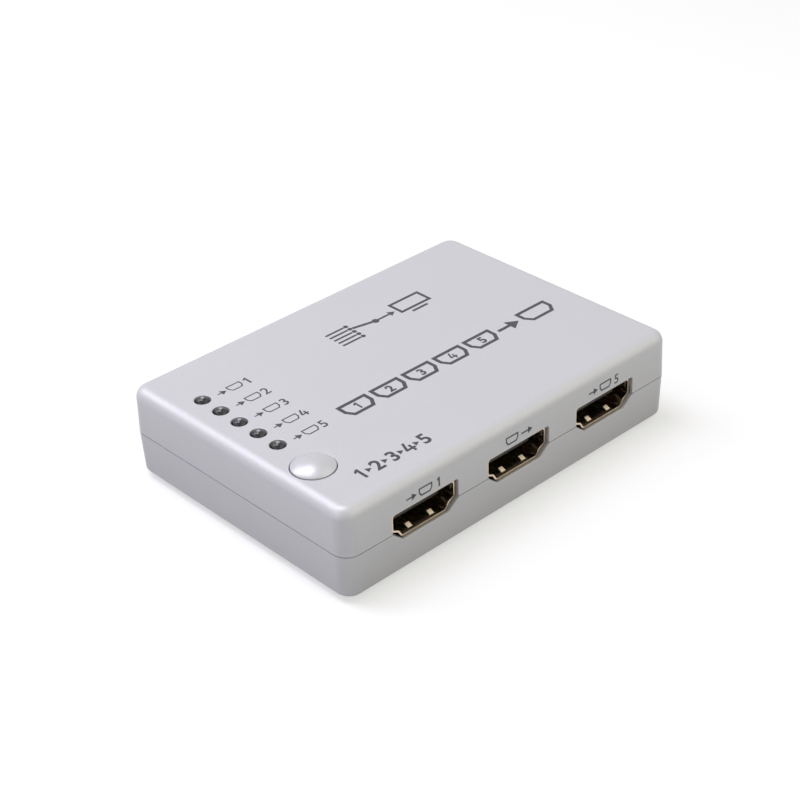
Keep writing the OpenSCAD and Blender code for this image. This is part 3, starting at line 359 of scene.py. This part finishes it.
FINISHES = {
    "case_paint": silver_paint("case_paint", roughness=0.48, flake_depth=0.05, peel_height=0.006),
    "button_paint": silver_paint("button_paint", roughness=0.36, flake_depth=0.03, peel_height=0.003),
    "screw_steel": drawn_metal("screw_steel", (0.32, 0.32, 0.33), roughness=0.38),
    "foot_rubber": moulded_plastic("foot_rubber", (0.022, 0.022, 0.023), roughness=0.75, texture=0.3),
    "board": solder_mask("board"),
    "gold_shell": plated_shell("gold_shell"),
    "insulator_black": moulded_plastic("insulator_black", (0.01, 0.01, 0.01), roughness=0.5, texture=0.15),
    "gold_contact": drawn_metal("gold_contact", (0.9, 0.66, 0.32), roughness=0.22, along=ALONG_Y),
    "lamp_lens": smoked_resin("lamp_lens"),
    "tinned_lead": drawn_metal("tinned_lead", (0.72, 0.72, 0.71), roughness=0.3),
    "switch_plastic": moulded_plastic("switch_plastic", (0.025, 0.025, 0.026), roughness=0.45),
    "switch_steel": drawn_metal("switch_steel", (0.68, 0.68, 0.68), roughness=0.28, along=ALONG_X),
    "jack_plastic": moulded_plastic("jack_plastic", (0.02, 0.02, 0.022), roughness=0.4),
    "jack_pin": drawn_metal("jack_pin", (0.72, 0.71, 0.69), roughness=0.22, along=ALONG_X),
    "chip_plastic": moulded_plastic("chip_plastic", (0.03, 0.03, 0.033), roughness=0.55),
    "crystal_can": drawn_metal("crystal_can", (0.7, 0.7, 0.68), roughness=0.3, along=ALONG_X),
    "capacitor_can": moulded_plastic("capacitor_can", (0.02, 0.03, 0.05), roughness=0.3),
    "chip_ceramic": moulded_plastic("chip_ceramic", (0.06, 0.06, 0.065), roughness=0.5, texture=0.1),
}
INK_FINISH = print_ink("print_ink")

for part in frame["record"]["subparts"]:
    NODES[part["node"]].material_slots[0].material = FINISHES[part["material_slot"]]


# Rounded edges

# Points nearer than this are one point
WELD = 0.002
# Faces turned less than the first angle make one flat face, and more than the second a sharp edge
FLAT_ANGLE = math.radians(0.2)
SHARP_ANGLE = math.radians(40)
EDGE_SEGMENTS = 2
# Widths of the rounded edges
EDGE_WIDTHS = {
    "select_button": 0.08, "rubber_feet": 0.2, "case_screws": 0.06, "circuit_board": 0.05,
    "power_jack_body": 0.12, "power_jack_pin": 0.1, "remote_jack_body": 0.12, "switch_base": 0.1,
    "switch_cover": 0.05, "switch_plunger": 0.1, "selector_chip": 0.08, "microcontroller": 0.08,
    "regulator": 0.08, "crystal": 0.15, "bulk_capacitor": 0.1,
    **{f"lamp_{i}": 0.05 for i in INPUTS},
    **{f"{port}_shell": 0.06 for port in PORTS},
    **{f"{port}_insulator": 0.06 for port in PORTS},
}


def keep_flat_faces_flat(obj, keep_sharp):
    """Weigh the shading by the faces' areas, so that large flat faces stay flat beside round ones."""
    normals = obj.modifiers.new("flat_faces_stay_flat", "WEIGHTED_NORMAL")
    normals.keep_sharp = keep_sharp


def round_node(node, width):
    """Join a node's faces, round its sharp edges where there is room, and even out its shading."""
    obj = NODES[node]
    weld = obj.modifiers.new("joined_faces", "WELD")
    weld.merge_threshold = WELD * MM
    flat = obj.modifiers.new("flat_faces", "DECIMATE")
    flat.decimate_type = "DISSOLVE"
    flat.angle_limit = FLAT_ANGLE
    bevel = obj.modifiers.new("rounded_edges", "BEVEL")
    bevel.width = width * MM
    bevel.segments = EDGE_SEGMENTS
    bevel.limit_method = "ANGLE"
    bevel.angle_limit = SHARP_ANGLE
    keep_flat_faces_flat(obj, keep_sharp=False)


for node, width in EDGE_WIDTHS.items():
    round_node(node, width)


# Pieces that stand for nodes

def joined_faces(node):
    """A node's own faces, joined where they meet."""
    bm = bmesh.new()
    bm.from_mesh(NODES[node].data)
    bmesh.ops.remove_doubles(bm, verts=bm.verts, dist=WELD * MM)
    return bm


def new_piece(name, bm, finish):
    """Object with one finish, made of the faces of a bmesh, which is freed."""
    mesh = bpy.data.meshes.new(name)
    bm.to_mesh(mesh)
    bm.free()
    mesh.materials.append(finish)
    obj = bpy.data.objects.new(name, mesh)
    bpy.context.scene.collection.objects.link(obj)
    return obj


# Case shells: their rounded rims, and the height of the seam between them
RIM_WIDTH = 0.15
RIM_SEGMENTS = 3
RIM_ANGLE = math.radians(60)
SEAM_Z = 9.7
TOP_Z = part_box("top_shell")[1].z
# How near to the seam, the top, the foot and the drafted sides an edge counts as lying on them
NEAR_SEAM = 0.3
NEAR_TOP = 0.3
NEAR_FOOT = 0.01
NEAR_SIDE = 0.45


def shell_piece(name, node):
    """Case shell made from its node's own faces, with the rims of its openings rounded on the outside."""
    bm = joined_faces(node)
    bmesh.ops.dissolve_limit(bm, angle_limit=FLAT_ANGLE, verts=bm.verts, edges=bm.edges)
    low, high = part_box(node)

    def near_seam(point):
        return abs(point.z - SEAM_Z * MM) < NEAR_SEAM * MM

    def on_outer_rim(edge):
        if len(edge.link_faces) != 2 or edge.calc_face_angle() < RIM_ANGLE:
            return False
        middle = (edge.verts[0].co + edge.verts[1].co) / 2
        if middle.z > TOP_Z - NEAR_TOP * MM or middle.z < low.z + NEAR_FOOT * MM:
            return True
        on_side = max(abs(middle.x) - high.x, abs(middle.y) - high.y) > -NEAR_SIDE * MM
        return on_side and not near_seam(middle)

    rims = [edge for edge in bm.edges if on_outer_rim(edge)]
    bmesh.ops.bevel(
        bm, geom=rims, offset=RIM_WIDTH * MM, offset_type="OFFSET", segments=RIM_SEGMENTS, profile=0.5,
        affect="EDGES", clamp_overlap=False, miter_outer="SHARP",
    )
    obj = new_piece(name, bm, FINISHES["case_paint"])
    mesh = obj.data
    mesh.set_sharp_from_angle(angle=SHARP_ANGLE)
    seam_points = {point.index for point in mesh.vertices if near_seam(point.co)}
    for edge in mesh.edges:
        if seam_points.issuperset(edge.vertices):
            edge.use_edge_sharp = True
    for face in mesh.polygons:
        face.use_smooth = True
    keep_flat_faces_flat(obj, keep_sharp=True)
    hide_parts(node)
    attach(obj, CASE)


shell_piece("case_top", "top_shell")
shell_piece("case_bottom", "bottom_shell")


def snap_dome_piece(name, node, slot):
    """Snap dome of the push switch, as a smooth piece made from its node's own faces."""
    obj = new_piece(name, joined_faces(node), FINISHES[slot])
    obj.data.shade_smooth()
    obj.data.set_sharp_from_angle(angle=SHARP_ANGLE)
    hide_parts(node)
    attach(obj, CASE)
    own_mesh(obj)


snap_dome_piece("snap_dome", "switch_dome", "switch_steel")


# Print: flat shapes drawn in millimetres, u to the right and v up

# Depth of the ink below the surface, which seats it on a curved face, and its height above the surface
INK_SINK = 0.03
INK_PROUD = 0.015
# Points of a print nearer than the first distance are one point, and of a small label than the second
JOIN = 0.004
LABEL_JOIN = 0.03
# Distance from the origin, outside the part, from which a print is projected on a face
OUTSIDE = 80
# Stroke of the signs on the sides
FINE = 0.3
CIRCLE_POINTS = 32
# Cut corners of a receptacle's sign, as shares of its width and its height
PORT_SIGN_CUT = 0.16
PORT_SIGN_RISE = 0.42
# Lengths of an arrow's head and of a triangle, as shares of their heights
ARROW_HEAD = 0.8
TRIANGLE_L = 0.85
# What a font's figures gain in weight, as a share of the font's size
FIGURE_WEIGHT = 0.01
# Figures drawn here, as shares of their height: the middle of the width, and the outline of a 1 with its flag
# and of an open 4
DRAWN_FIGURES = {
    1: (0.2, [(0.17, 0), (0.35, 0), (0.35, 1), (0.21, 1), (0, 0.83), (0, 0.65), (0.17, 0.76)]),
    4: (0.36, [
        (0.42, 0), (0.58, 0), (0.58, 0.22), (0.72, 0.22), (0.72, 0.38), (0.58, 0.38), (0.58, 0.66),
        (0.42, 0.66), (0.42, 0.38), (0.19, 0.38), (0.44, 1), (0.27, 1), (0, 0.36), (0, 0.22), (0.42, 0.22),
    ]),
}


def seat_on(node, start, direction, up):
    """Frame on a node's surface where a ray meets it: X to the right, Y up along the face, Z out of it."""
    mesh = NODES[node].data
    tree = BVHTree.FromPolygons([v.co for v in mesh.vertices], [p.vertices for p in mesh.polygons])
    hit, normal, _, _ = tree.ray_cast(Vector(start) * MM, Vector(direction))
    right = Vector(up).cross(normal).normalized()
    across = normal.cross(right)
    seat = Matrix((right, across, normal)).transposed().to_4x4()
    seat.translation = hit
    return seat


def on_top(x, y):
    return seat_on("top_shell", (x, y, OUTSIDE), (0, 0, -1), (0, 1, 0))


def arc(u, v, radius, turns):
    return [(u + radius * math.cos(turn), v + radius * math.sin(turn)) for turn in turns]


def circle(u, v, radius, count=CIRCLE_POINTS):
    return arc(u, v, radius, [2 * math.pi * i / count for i in range(count)])


def inset(points, by):
    """Outline moved inwards by a distance, with mitred corners."""
    moved = []
    count = len(points)
    for i, point in enumerate(points):
        a, b, c = Vector(points[i - 1]), Vector(point), Vector(points[(i + 1) % count])
        before = Vector((-(b - a).y, (b - a).x)).normalized()
        after = Vector((-(c - b).y, (c - b).x)).normalized()
        moved.append(tuple(b + by * (before + after) / (1 + before.dot(after))))
    return moved


def add_outline(bm, points):
    bm.faces.new([bm.verts.new((u, v, 0)) for u, v in points])


def add_frame(bm, points, stroke):
    """Flat band along the inside of an outline."""
    outside = [bm.verts.new((u, v, 0)) for u, v in points]
    inside = [bm.verts.new((u, v, 0)) for u, v in inset(points, stroke)]
    count = len(points)
    for i in range(count):
        j = (i + 1) % count
        bm.faces.new((outside[i], outside[j], inside[j], inside[i]))


def box_points(u0, v0, u1, v1):
    return [(u0, v0), (u1, v0), (u1, v1), (u0, v1)]


def add_line(bm, start, end, stroke):
    """Straight stroke with square ends."""
    start, end = Vector(start), Vector(end)
    along = (end - start).normalized()
    side = Vector((-along.y, along.x)) * stroke / 2
    add_outline(bm, [start - side, end - side, end + side, start + side])


def add_port_sign(bm, u, v, width, height, stroke):
    """Receptacle seen from its mouth, its lower corners cut off, with its lower left corner at (u, v)."""
    cut = PORT_SIGN_CUT * width
    rise = PORT_SIGN_RISE * height
    add_frame(bm, [
        (u + cut, v), (u + width - cut, v), (u + width, v + rise), (u + width, v + height),
        (u, v + height), (u, v + rise),
    ], stroke)


def add_arrow(bm, u, v, length, height, stroke):
    """Arrow to the right whose tail is at u and whose axis is at v."""
    neck = u + length - ARROW_HEAD * height
    add_outline(bm, [
        (u, v - stroke / 2), (neck, v - stroke / 2), (neck, v - height / 2), (u + length, v),
        (neck, v + height / 2), (neck, v + stroke / 2), (u, v + stroke / 2),
    ])


def add_triangle(bm, u, v, size):
    """Triangle that points to the right, with its back at u and its axis at v."""
    add_outline(bm, [(u, v - size / 2), (u + TRIANGLE_L * size, v), (u, v + size / 2)])


def add_digit(bm, figure, u, v, height, weight=FIGURE_WEIGHT):
    """Figure whose middle is at u and whose foot is at v. One from the font is made bolder by the weight."""
    if figure in DRAWN_FIGURES:
        middle, points = DRAWN_FIGURES[figure]
        add_outline(bm, [(u + (x - middle) * height, v + y * height) for x, y in points])
        return
    curve = bpy.data.curves.new("figure", "FONT")
    curve.body = str(figure)
    curve.align_x = "CENTER"
    curve.offset = weight
    text = bpy.data.objects.new("figure", curve)
    bpy.context.scene.collection.objects.link(text)
    flat = text.evaluated_get(bpy.context.evaluated_depsgraph_get()).to_mesh()
    foot = min(point.co.y for point in flat.vertices)
    head = max(point.co.y for point in flat.vertices)
    scale = height / (head - foot)
    points = [bm.verts.new((u + p.co.x * scale, v + (p.co.y - foot) * scale, 0)) for p in flat.vertices]
    for face in flat.polygons:
        bm.faces.new([points[i] for i in face.vertices])
    bpy.data.objects.remove(text)
    bpy.data.curves.remove(curve)


def stamp(name, seat, draw, join=JOIN):
    """Printed piece: what is drawn, laid on a seat and given the ink's own thickness."""
    bm = bmesh.new()
    draw(bm)
    bmesh.ops.remove_doubles(bm, verts=bm.verts, dist=join)
    raised = bmesh.ops.extrude_face_region(bm, geom=bm.faces[:])
    tops = [item for item in raised["geom"] if isinstance(item, bmesh.types.BMVert)]
    bmesh.ops.translate(bm, verts=tops, vec=(0, 0, INK_SINK + INK_PROUD))
    bmesh.ops.translate(bm, verts=bm.verts, vec=(0, 0, -INK_SINK))
    bmesh.ops.recalc_face_normals(bm, faces=bm.faces)
    bm.transform(seat @ Matrix.Scale(MM, 4))
    obj = new_piece(name, bm, INK_FINISH)
    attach(obj, CASE)


# Labels of the inputs, beside lamps and over receptacles: an arrow, a receptacle and the input's number
LAMP_LABEL = {
    "arrow_u": 0, "arrow_l": 2.0, "arrow_h": 1.5,
    "sign_u": 2.4, "sign_w": 3.2, "sign_h": 1.9,
    "figure_u": 6.8, "figure_h": 2.2, "stroke": 0.26,
}
PORT_LABEL = {
    "arrow_u": -4.4, "arrow_l": 2.4, "arrow_h": 1.4,
    "sign_u": -1.5, "sign_w": 3.2, "sign_h": 1.7,
    "figure_u": 3.2, "figure_h": 1.9, "stroke": FINE,
}
# Left end of the lamps' labels, and how far below its lamp's middle each lies
LAMP_LABEL_X = -32.0
LAMP_LABEL_DROP = 0.7


def draw_input(figure, size):
    def draw(bm):
        add_arrow(bm, size["arrow_u"], 0, size["arrow_l"], size["arrow_h"], size["stroke"])
        add_port_sign(bm, size["sign_u"], -size["sign_h"] / 2, size["sign_w"], size["sign_h"], size["stroke"])
        add_digit(bm, figure, size["figure_u"], -size["figure_h"] / 2, size["figure_h"])
    return draw


for i in INPUTS:
    label_y = node_middle(f"lamp_{i}").y - LAMP_LABEL_DROP
    stamp(f"print_lamp_{i}", on_top(LAMP_LABEL_X, label_y), draw_input(i, LAMP_LABEL), LABEL_JOIN)

# Route across the top: five numbered receptacles, an arrow and one receptacle
ROUTE_AT = (-20.5, -8.3)
ROUTE_H = 4.3
ROUTE_STROKE = 0.75
ROUTE_INPUT_W = 7.0
ROUTE_INPUT_PITCH = 7.9
ROUTE_FIGURE_H = 2.2
ROUTE_FIGURE_WEIGHT = 0.035
ROUTE_ARROW_L = 5.6
ROUTE_ARROW_H = 3.2
ROUTE_OUTPUT_GAP = 0.9
ROUTE_OUTPUT_W = 8.0


def draw_route(bm):
    foot = (ROUTE_H - ROUTE_FIGURE_H) / 2
    for i in INPUTS:
        u = (i - 1) * ROUTE_INPUT_PITCH
        add_port_sign(bm, u, 0, ROUTE_INPUT_W, ROUTE_H, ROUTE_STROKE)
        add_digit(bm, i, u + ROUTE_INPUT_W / 2, foot, ROUTE_FIGURE_H, ROUTE_FIGURE_WEIGHT)
    after = len(INPUTS) * ROUTE_INPUT_PITCH
    add_arrow(bm, after, ROUTE_H / 2, ROUTE_ARROW_L, ROUTE_ARROW_H, ROUTE_STROKE)
    add_port_sign(bm, after + ROUTE_ARROW_L + ROUTE_OUTPUT_GAP, 0, ROUTE_OUTPUT_W, ROUTE_H, ROUTE_STROKE)


stamp("print_route", on_top(*ROUTE_AT), draw_route)

# Order of the inputs beside the select button: figures with triangles between them
ORDER_AT = (-32.0, -23.9)
ORDER_H = 3.1
ORDER_PITCH = 3.7
ORDER_FIGURE_U = 0.9
ORDER_FIGURE_WEIGHT = 0.025
ORDER_MARK_U = 2.25
ORDER_MARK = 1.3


def draw_order(bm):
    for i in INPUTS:
        add_digit(bm, i, ORDER_FIGURE_U + (i - 1) * ORDER_PITCH, 0, ORDER_H, ORDER_FIGURE_WEIGHT)
    for i in INPUTS[:-1]:
        add_triangle(bm, ORDER_MARK_U + (i - 1) * ORDER_PITCH, ORDER_H / 2, ORDER_MARK)


stamp("print_order", on_top(*ORDER_AT), draw_order)

# Selector sign on the top: five lines with contacts, a lever to one of them, an arrow and a screen
SELECTOR_AT = (-4.8, 11.3)
SELECTOR_PITCH = 1.25
SELECTOR_STROKE = 0.5
LINE_L = 4.5
CONTACT_U = 5.1
CONTACT_R = 0.5
PIVOT_U = 10.6
PIVOT_R = 0.75
LEVER_TO = 4
LEVER_GAP = 0.55
LEVER_STROKE = 0.7
SELECTOR_ARROW_L = 4.3
SELECTOR_ARROW_H = 1.8
SCREEN_U = 16.2
SCREEN_V = 1.0
SCREEN_W = 8.0
SCREEN_STROKE = 0.65
# The screen's stand: its ends as shares of the screen's width, and its lower and upper edge
STAND_U = (0.25, 0.75)
STAND_V = (-0.2, 0.4)


def draw_selector(bm):
    rows = [(i - 1) * SELECTOR_PITCH for i in INPUTS]
    for v in rows:
        add_line(bm, (0, v), (LINE_L, v), SELECTOR_STROKE)
        add_outline(bm, circle(CONTACT_U, v, CONTACT_R))
    middle = (rows[0] + rows[-1]) / 2
    pivot = Vector((PIVOT_U, middle))
    tip = Vector((CONTACT_U, rows[LEVER_TO - 1]))
    along = (tip - pivot).normalized()
    add_outline(bm, circle(*pivot, PIVOT_R))
    add_line(bm, pivot + PIVOT_R * along, tip - LEVER_GAP * along, LEVER_STROKE)
    add_arrow(bm, PIVOT_U + PIVOT_R, middle, SELECTOR_ARROW_L, SELECTOR_ARROW_H, SELECTOR_STROKE)
    head = rows[-1] + SELECTOR_STROKE / 2
    add_frame(bm, box_points(SCREEN_U, SCREEN_V, SCREEN_U + SCREEN_W, head), SCREEN_STROKE)
    left, right = [SCREEN_U + share * SCREEN_W for share in STAND_U]
    add_outline(bm, box_points(left, STAND_V[0], right, STAND_V[1]))


stamp("print_selector", on_top(*SELECTOR_AT), draw_selector)

# Signs over the receptacles: the inputs' labels, and for the output a receptacle before an arrow
PORT_SIGN_Z = 15.1
OUTPUT_SIGN_U = -3.3
OUTPUT_ARROW_U = 0.6
OUTPUT_ARROW_L = 2.9


def draw_output(bm):
    size = PORT_LABEL
    add_port_sign(bm, OUTPUT_SIGN_U, -size["sign_h"] / 2, size["sign_w"], size["sign_h"], size["stroke"])
    add_arrow(bm, OUTPUT_ARROW_U, 0, OUTPUT_ARROW_L, size["arrow_h"], size["stroke"])


for port in PORTS:
    middle = node_middle(f"{port}_shell")
    facing = -1 if port in FRONT_PORTS else 1
    seat = seat_on("top_shell", (middle.x, facing * OUTSIDE, PORT_SIGN_Z), (0, -facing, 0), (0, 0, 1))
    draw = draw_output if port == "output" else draw_input(int(port[-1]), PORT_LABEL)
    stamp(f"print_{port}", seat, draw, LABEL_JOIN)

# Signs over the two jacks
JACK_SIGN_Z = 16.1
# Direct current: half the length of its full line, the lines' distance from the middle, and the dashes
CURRENT_HALF_L = 2.2
CURRENT_V = 0.5
DASHES = 3
DASH_L = 1.1
DASH_PITCH = 1.65
# Remote receiver: a dot and three arcs of a quarter turn
REMOTE_U = -1.6
REMOTE_DOT_R = 0.3
REMOTE_DOT_POINTS = 20
REMOTE_ARCS = (0.9, 1.6, 2.3)
REMOTE_STROKE = 0.25
REMOTE_HALF_TURN = math.radians(45)
REMOTE_STEPS = 12


def draw_direct_current(bm):
    half = FINE / 2
    add_outline(bm, box_points(-CURRENT_HALF_L, CURRENT_V - half, CURRENT_HALF_L, CURRENT_V + half))
    for i in range(DASHES):
        u = -CURRENT_HALF_L + i * DASH_PITCH
        add_outline(bm, box_points(u, -CURRENT_V - half, u + DASH_L, -CURRENT_V + half))


def draw_remote(bm):
    add_outline(bm, circle(REMOTE_U, 0, REMOTE_DOT_R, REMOTE_DOT_POINTS))
    turns = [REMOTE_HALF_TURN * (2 * i / REMOTE_STEPS - 1) for i in range(REMOTE_STEPS + 1)]
    for radius in REMOTE_ARCS:
        outer = arc(REMOTE_U, 0, radius, turns)
        inner = arc(REMOTE_U, 0, radius - REMOTE_STROKE, turns)
        add_outline(bm, outer + inner[::-1])


for jack, draw in (("power", draw_direct_current), ("remote", draw_remote)):
    place = node_middle(f"{jack}_jack_body")
    seat = seat_on("top_shell", (OUTSIDE, place.y, JACK_SIGN_Z), (-1, 0, 0), (0, 0, 1))
    stamp(f"print_{jack}_jack", seat, draw)


# Floor, light and camera

# Floor: its width in metres, its grey and glow for rays that see it, and its grey for light that it bounces
FLOOR_SIZE = 6.0
FLOOR_SEEN = 0.62
FLOOR_GLOW = 0.5
FLOOR_BOUNCE = 0.5
# Soft light from all round
AMBIENT = 0.213
AMBIENT_COLOUR = (1.0, 0.98, 0.965, 1)
WHITE = (1, 1, 1, 1)


def rays_that_see(tree):
    """1 for rays from the camera, and for those that mirror or pass through the object."""
    path = tree.nodes.new("ShaderNodeLightPath")
    total = path.outputs["Is Camera Ray"]
    for kind in ("Is Glossy Ray", "Is Transmission Ray"):
        either = tree.nodes.new("ShaderNodeMath")
        either.operation = "MAXIMUM"
        tree.links.new(total, either.inputs[0])
        tree.links.new(path.outputs[kind], either.inputs[1])
        total = either.outputs[0]
    return total


def pick_by_ray(tree, seen, unseen, out):
    """Give the output one shader for rays that see it, and the other for rays that only carry light."""
    pick = tree.nodes.new("ShaderNodeMixShader")
    tree.links.new(rays_that_see(tree), pick.inputs[0])
    tree.links.new(unseen.outputs[0], pick.inputs[1])
    tree.links.new(seen.outputs[0], pick.inputs[2])
    tree.links.new(pick.outputs[0], out.inputs["Surface"])


def floor_material():
    material = bpy.data.materials.new("floor")
    material.use_nodes = True
    tree = material.node_tree
    tree.nodes.clear()
    out = tree.nodes.new("ShaderNodeOutputMaterial")
    pale = tree.nodes.new("ShaderNodeBsdfDiffuse")
    pale.inputs["Color"].default_value = (FLOOR_SEEN, FLOOR_SEEN, FLOOR_SEEN, 1)
    glow = tree.nodes.new("ShaderNodeEmission")
    glow.inputs["Strength"].default_value = FLOOR_GLOW
    shown = tree.nodes.new("ShaderNodeAddShader")
    tree.links.new(pale.outputs[0], shown.inputs[0])
    tree.links.new(glow.outputs[0], shown.inputs[1])
    bounce = tree.nodes.new("ShaderNodeBsdfDiffuse")
    bounce.inputs["Color"].default_value = (FLOOR_BOUNCE, FLOOR_BOUNCE, FLOOR_BOUNCE, 1)
    pick_by_ray(tree, shown, bounce, out)
    return material


def make_floor():
    bm = bmesh.new()
    bmesh.ops.create_grid(bm, x_segments=1, y_segments=1, size=FLOOR_SIZE / 2)
    floor = new_piece("floor", bm, floor_material())


def make_world():
    world = bpy.data.worlds.new("studio")
    bpy.context.scene.world = world
    world.use_nodes = True
    tree = world.node_tree
    tree.nodes.clear()
    out = tree.nodes.new("ShaderNodeOutputWorld")
    soft = tree.nodes.new("ShaderNodeBackground")
    soft.inputs["Color"].default_value = AMBIENT_COLOUR
    soft.inputs["Strength"].default_value = AMBIENT
    white = tree.nodes.new("ShaderNodeBackground")
    white.inputs["Color"].default_value = WHITE
    pick_by_ray(tree, white, soft, out)


# Lights: name, direction from the part, distance and width in metres, level and colour
PALE = (0.92, 0.895, 1.0)
COOL = (0.9, 0.9, 1.0)
WARM = (1.0, 0.99, 0.79)
LIGHTS = [
    ("overhead", (-0.12, 0.24, 0.96), 0.7, 0.36, 0.42, PALE),
    ("left_back", (-0.36, 0.63, 0.69), 0.65, 0.4, 0.31, COOL),
    ("left", (-0.9, 0.1, 0.42), 0.7, 0.6, 0.145, COOL),
    ("front_right", (0.5, -0.58, 0.64), 0.7, 0.8, 0.23, WARM),
    ("front", (0.1, -0.9, 0.42), 0.7, 0.6, 0.1, WARM),
]
# Point that the lights face
LIT_POINT = Vector((0, 0, 10)) * MM


def add_light(name, direction, distance, size, level, colour):
    """Round soft light that alone would show a white surface facing it at the given level."""
    lamp = bpy.data.lights.new(name, "AREA")
    lamp.shape = "DISK"
    lamp.size = size
    lamp.energy = level * math.pi ** 2 * distance ** 2
    lamp.color = colour
    obj = bpy.data.objects.new(name, lamp)
    bpy.context.scene.collection.objects.link(obj)
    towards = Vector(direction).normalized()
    obj.location = LIT_POINT + towards * distance
    obj.rotation_euler = towards.to_track_quat("Z", "Y").to_euler()


# Camera at the photograph's viewing angle: its direction from the target, and its lens in millimetres
CAMERA_AZIMUTH = math.radians(-42.24)
CAMERA_ELEVATION = math.radians(32.17)
CAMERA_ROLL = math.radians(-2.324)
CAMERA_DISTANCE = 337.02 * MM
CAMERA_TARGET = Vector((-1.082, 0.163, 10.123)) * MM
CAMERA_LENS = 80.83
CAMERA_SENSOR = 36
CAMERA_NEAREST = 10 * MM


def make_camera():
    data = bpy.data.cameras.new("camera")
    data.lens = CAMERA_LENS
    data.sensor_width = CAMERA_SENSOR
    data.clip_start = CAMERA_NEAREST
    camera = bpy.data.objects.new("camera", data)
    bpy.context.scene.collection.objects.link(camera)
    flat = math.cos(CAMERA_ELEVATION)
    back = Vector((
        math.sin(CAMERA_AZIMUTH) * flat, -math.cos(CAMERA_AZIMUTH) * flat, math.sin(CAMERA_ELEVATION),
    ))
    right = Vector((0, 0, 1)).cross(back).normalized()
    up = back.cross(right)
    turn = Matrix((right, up, back)).transposed() @ Matrix.Rotation(CAMERA_ROLL, 3, "Z")
    camera.matrix_world = Matrix.Translation(CAMERA_TARGET + back * CAMERA_DISTANCE) @ turn.to_4x4()
    bpy.context.scene.camera = camera


make_floor()
make_world()
make_camera()
for light in LIGHTS:
    add_light(*light)
bpy.context.scene.view_settings.view_transform = "Standard"
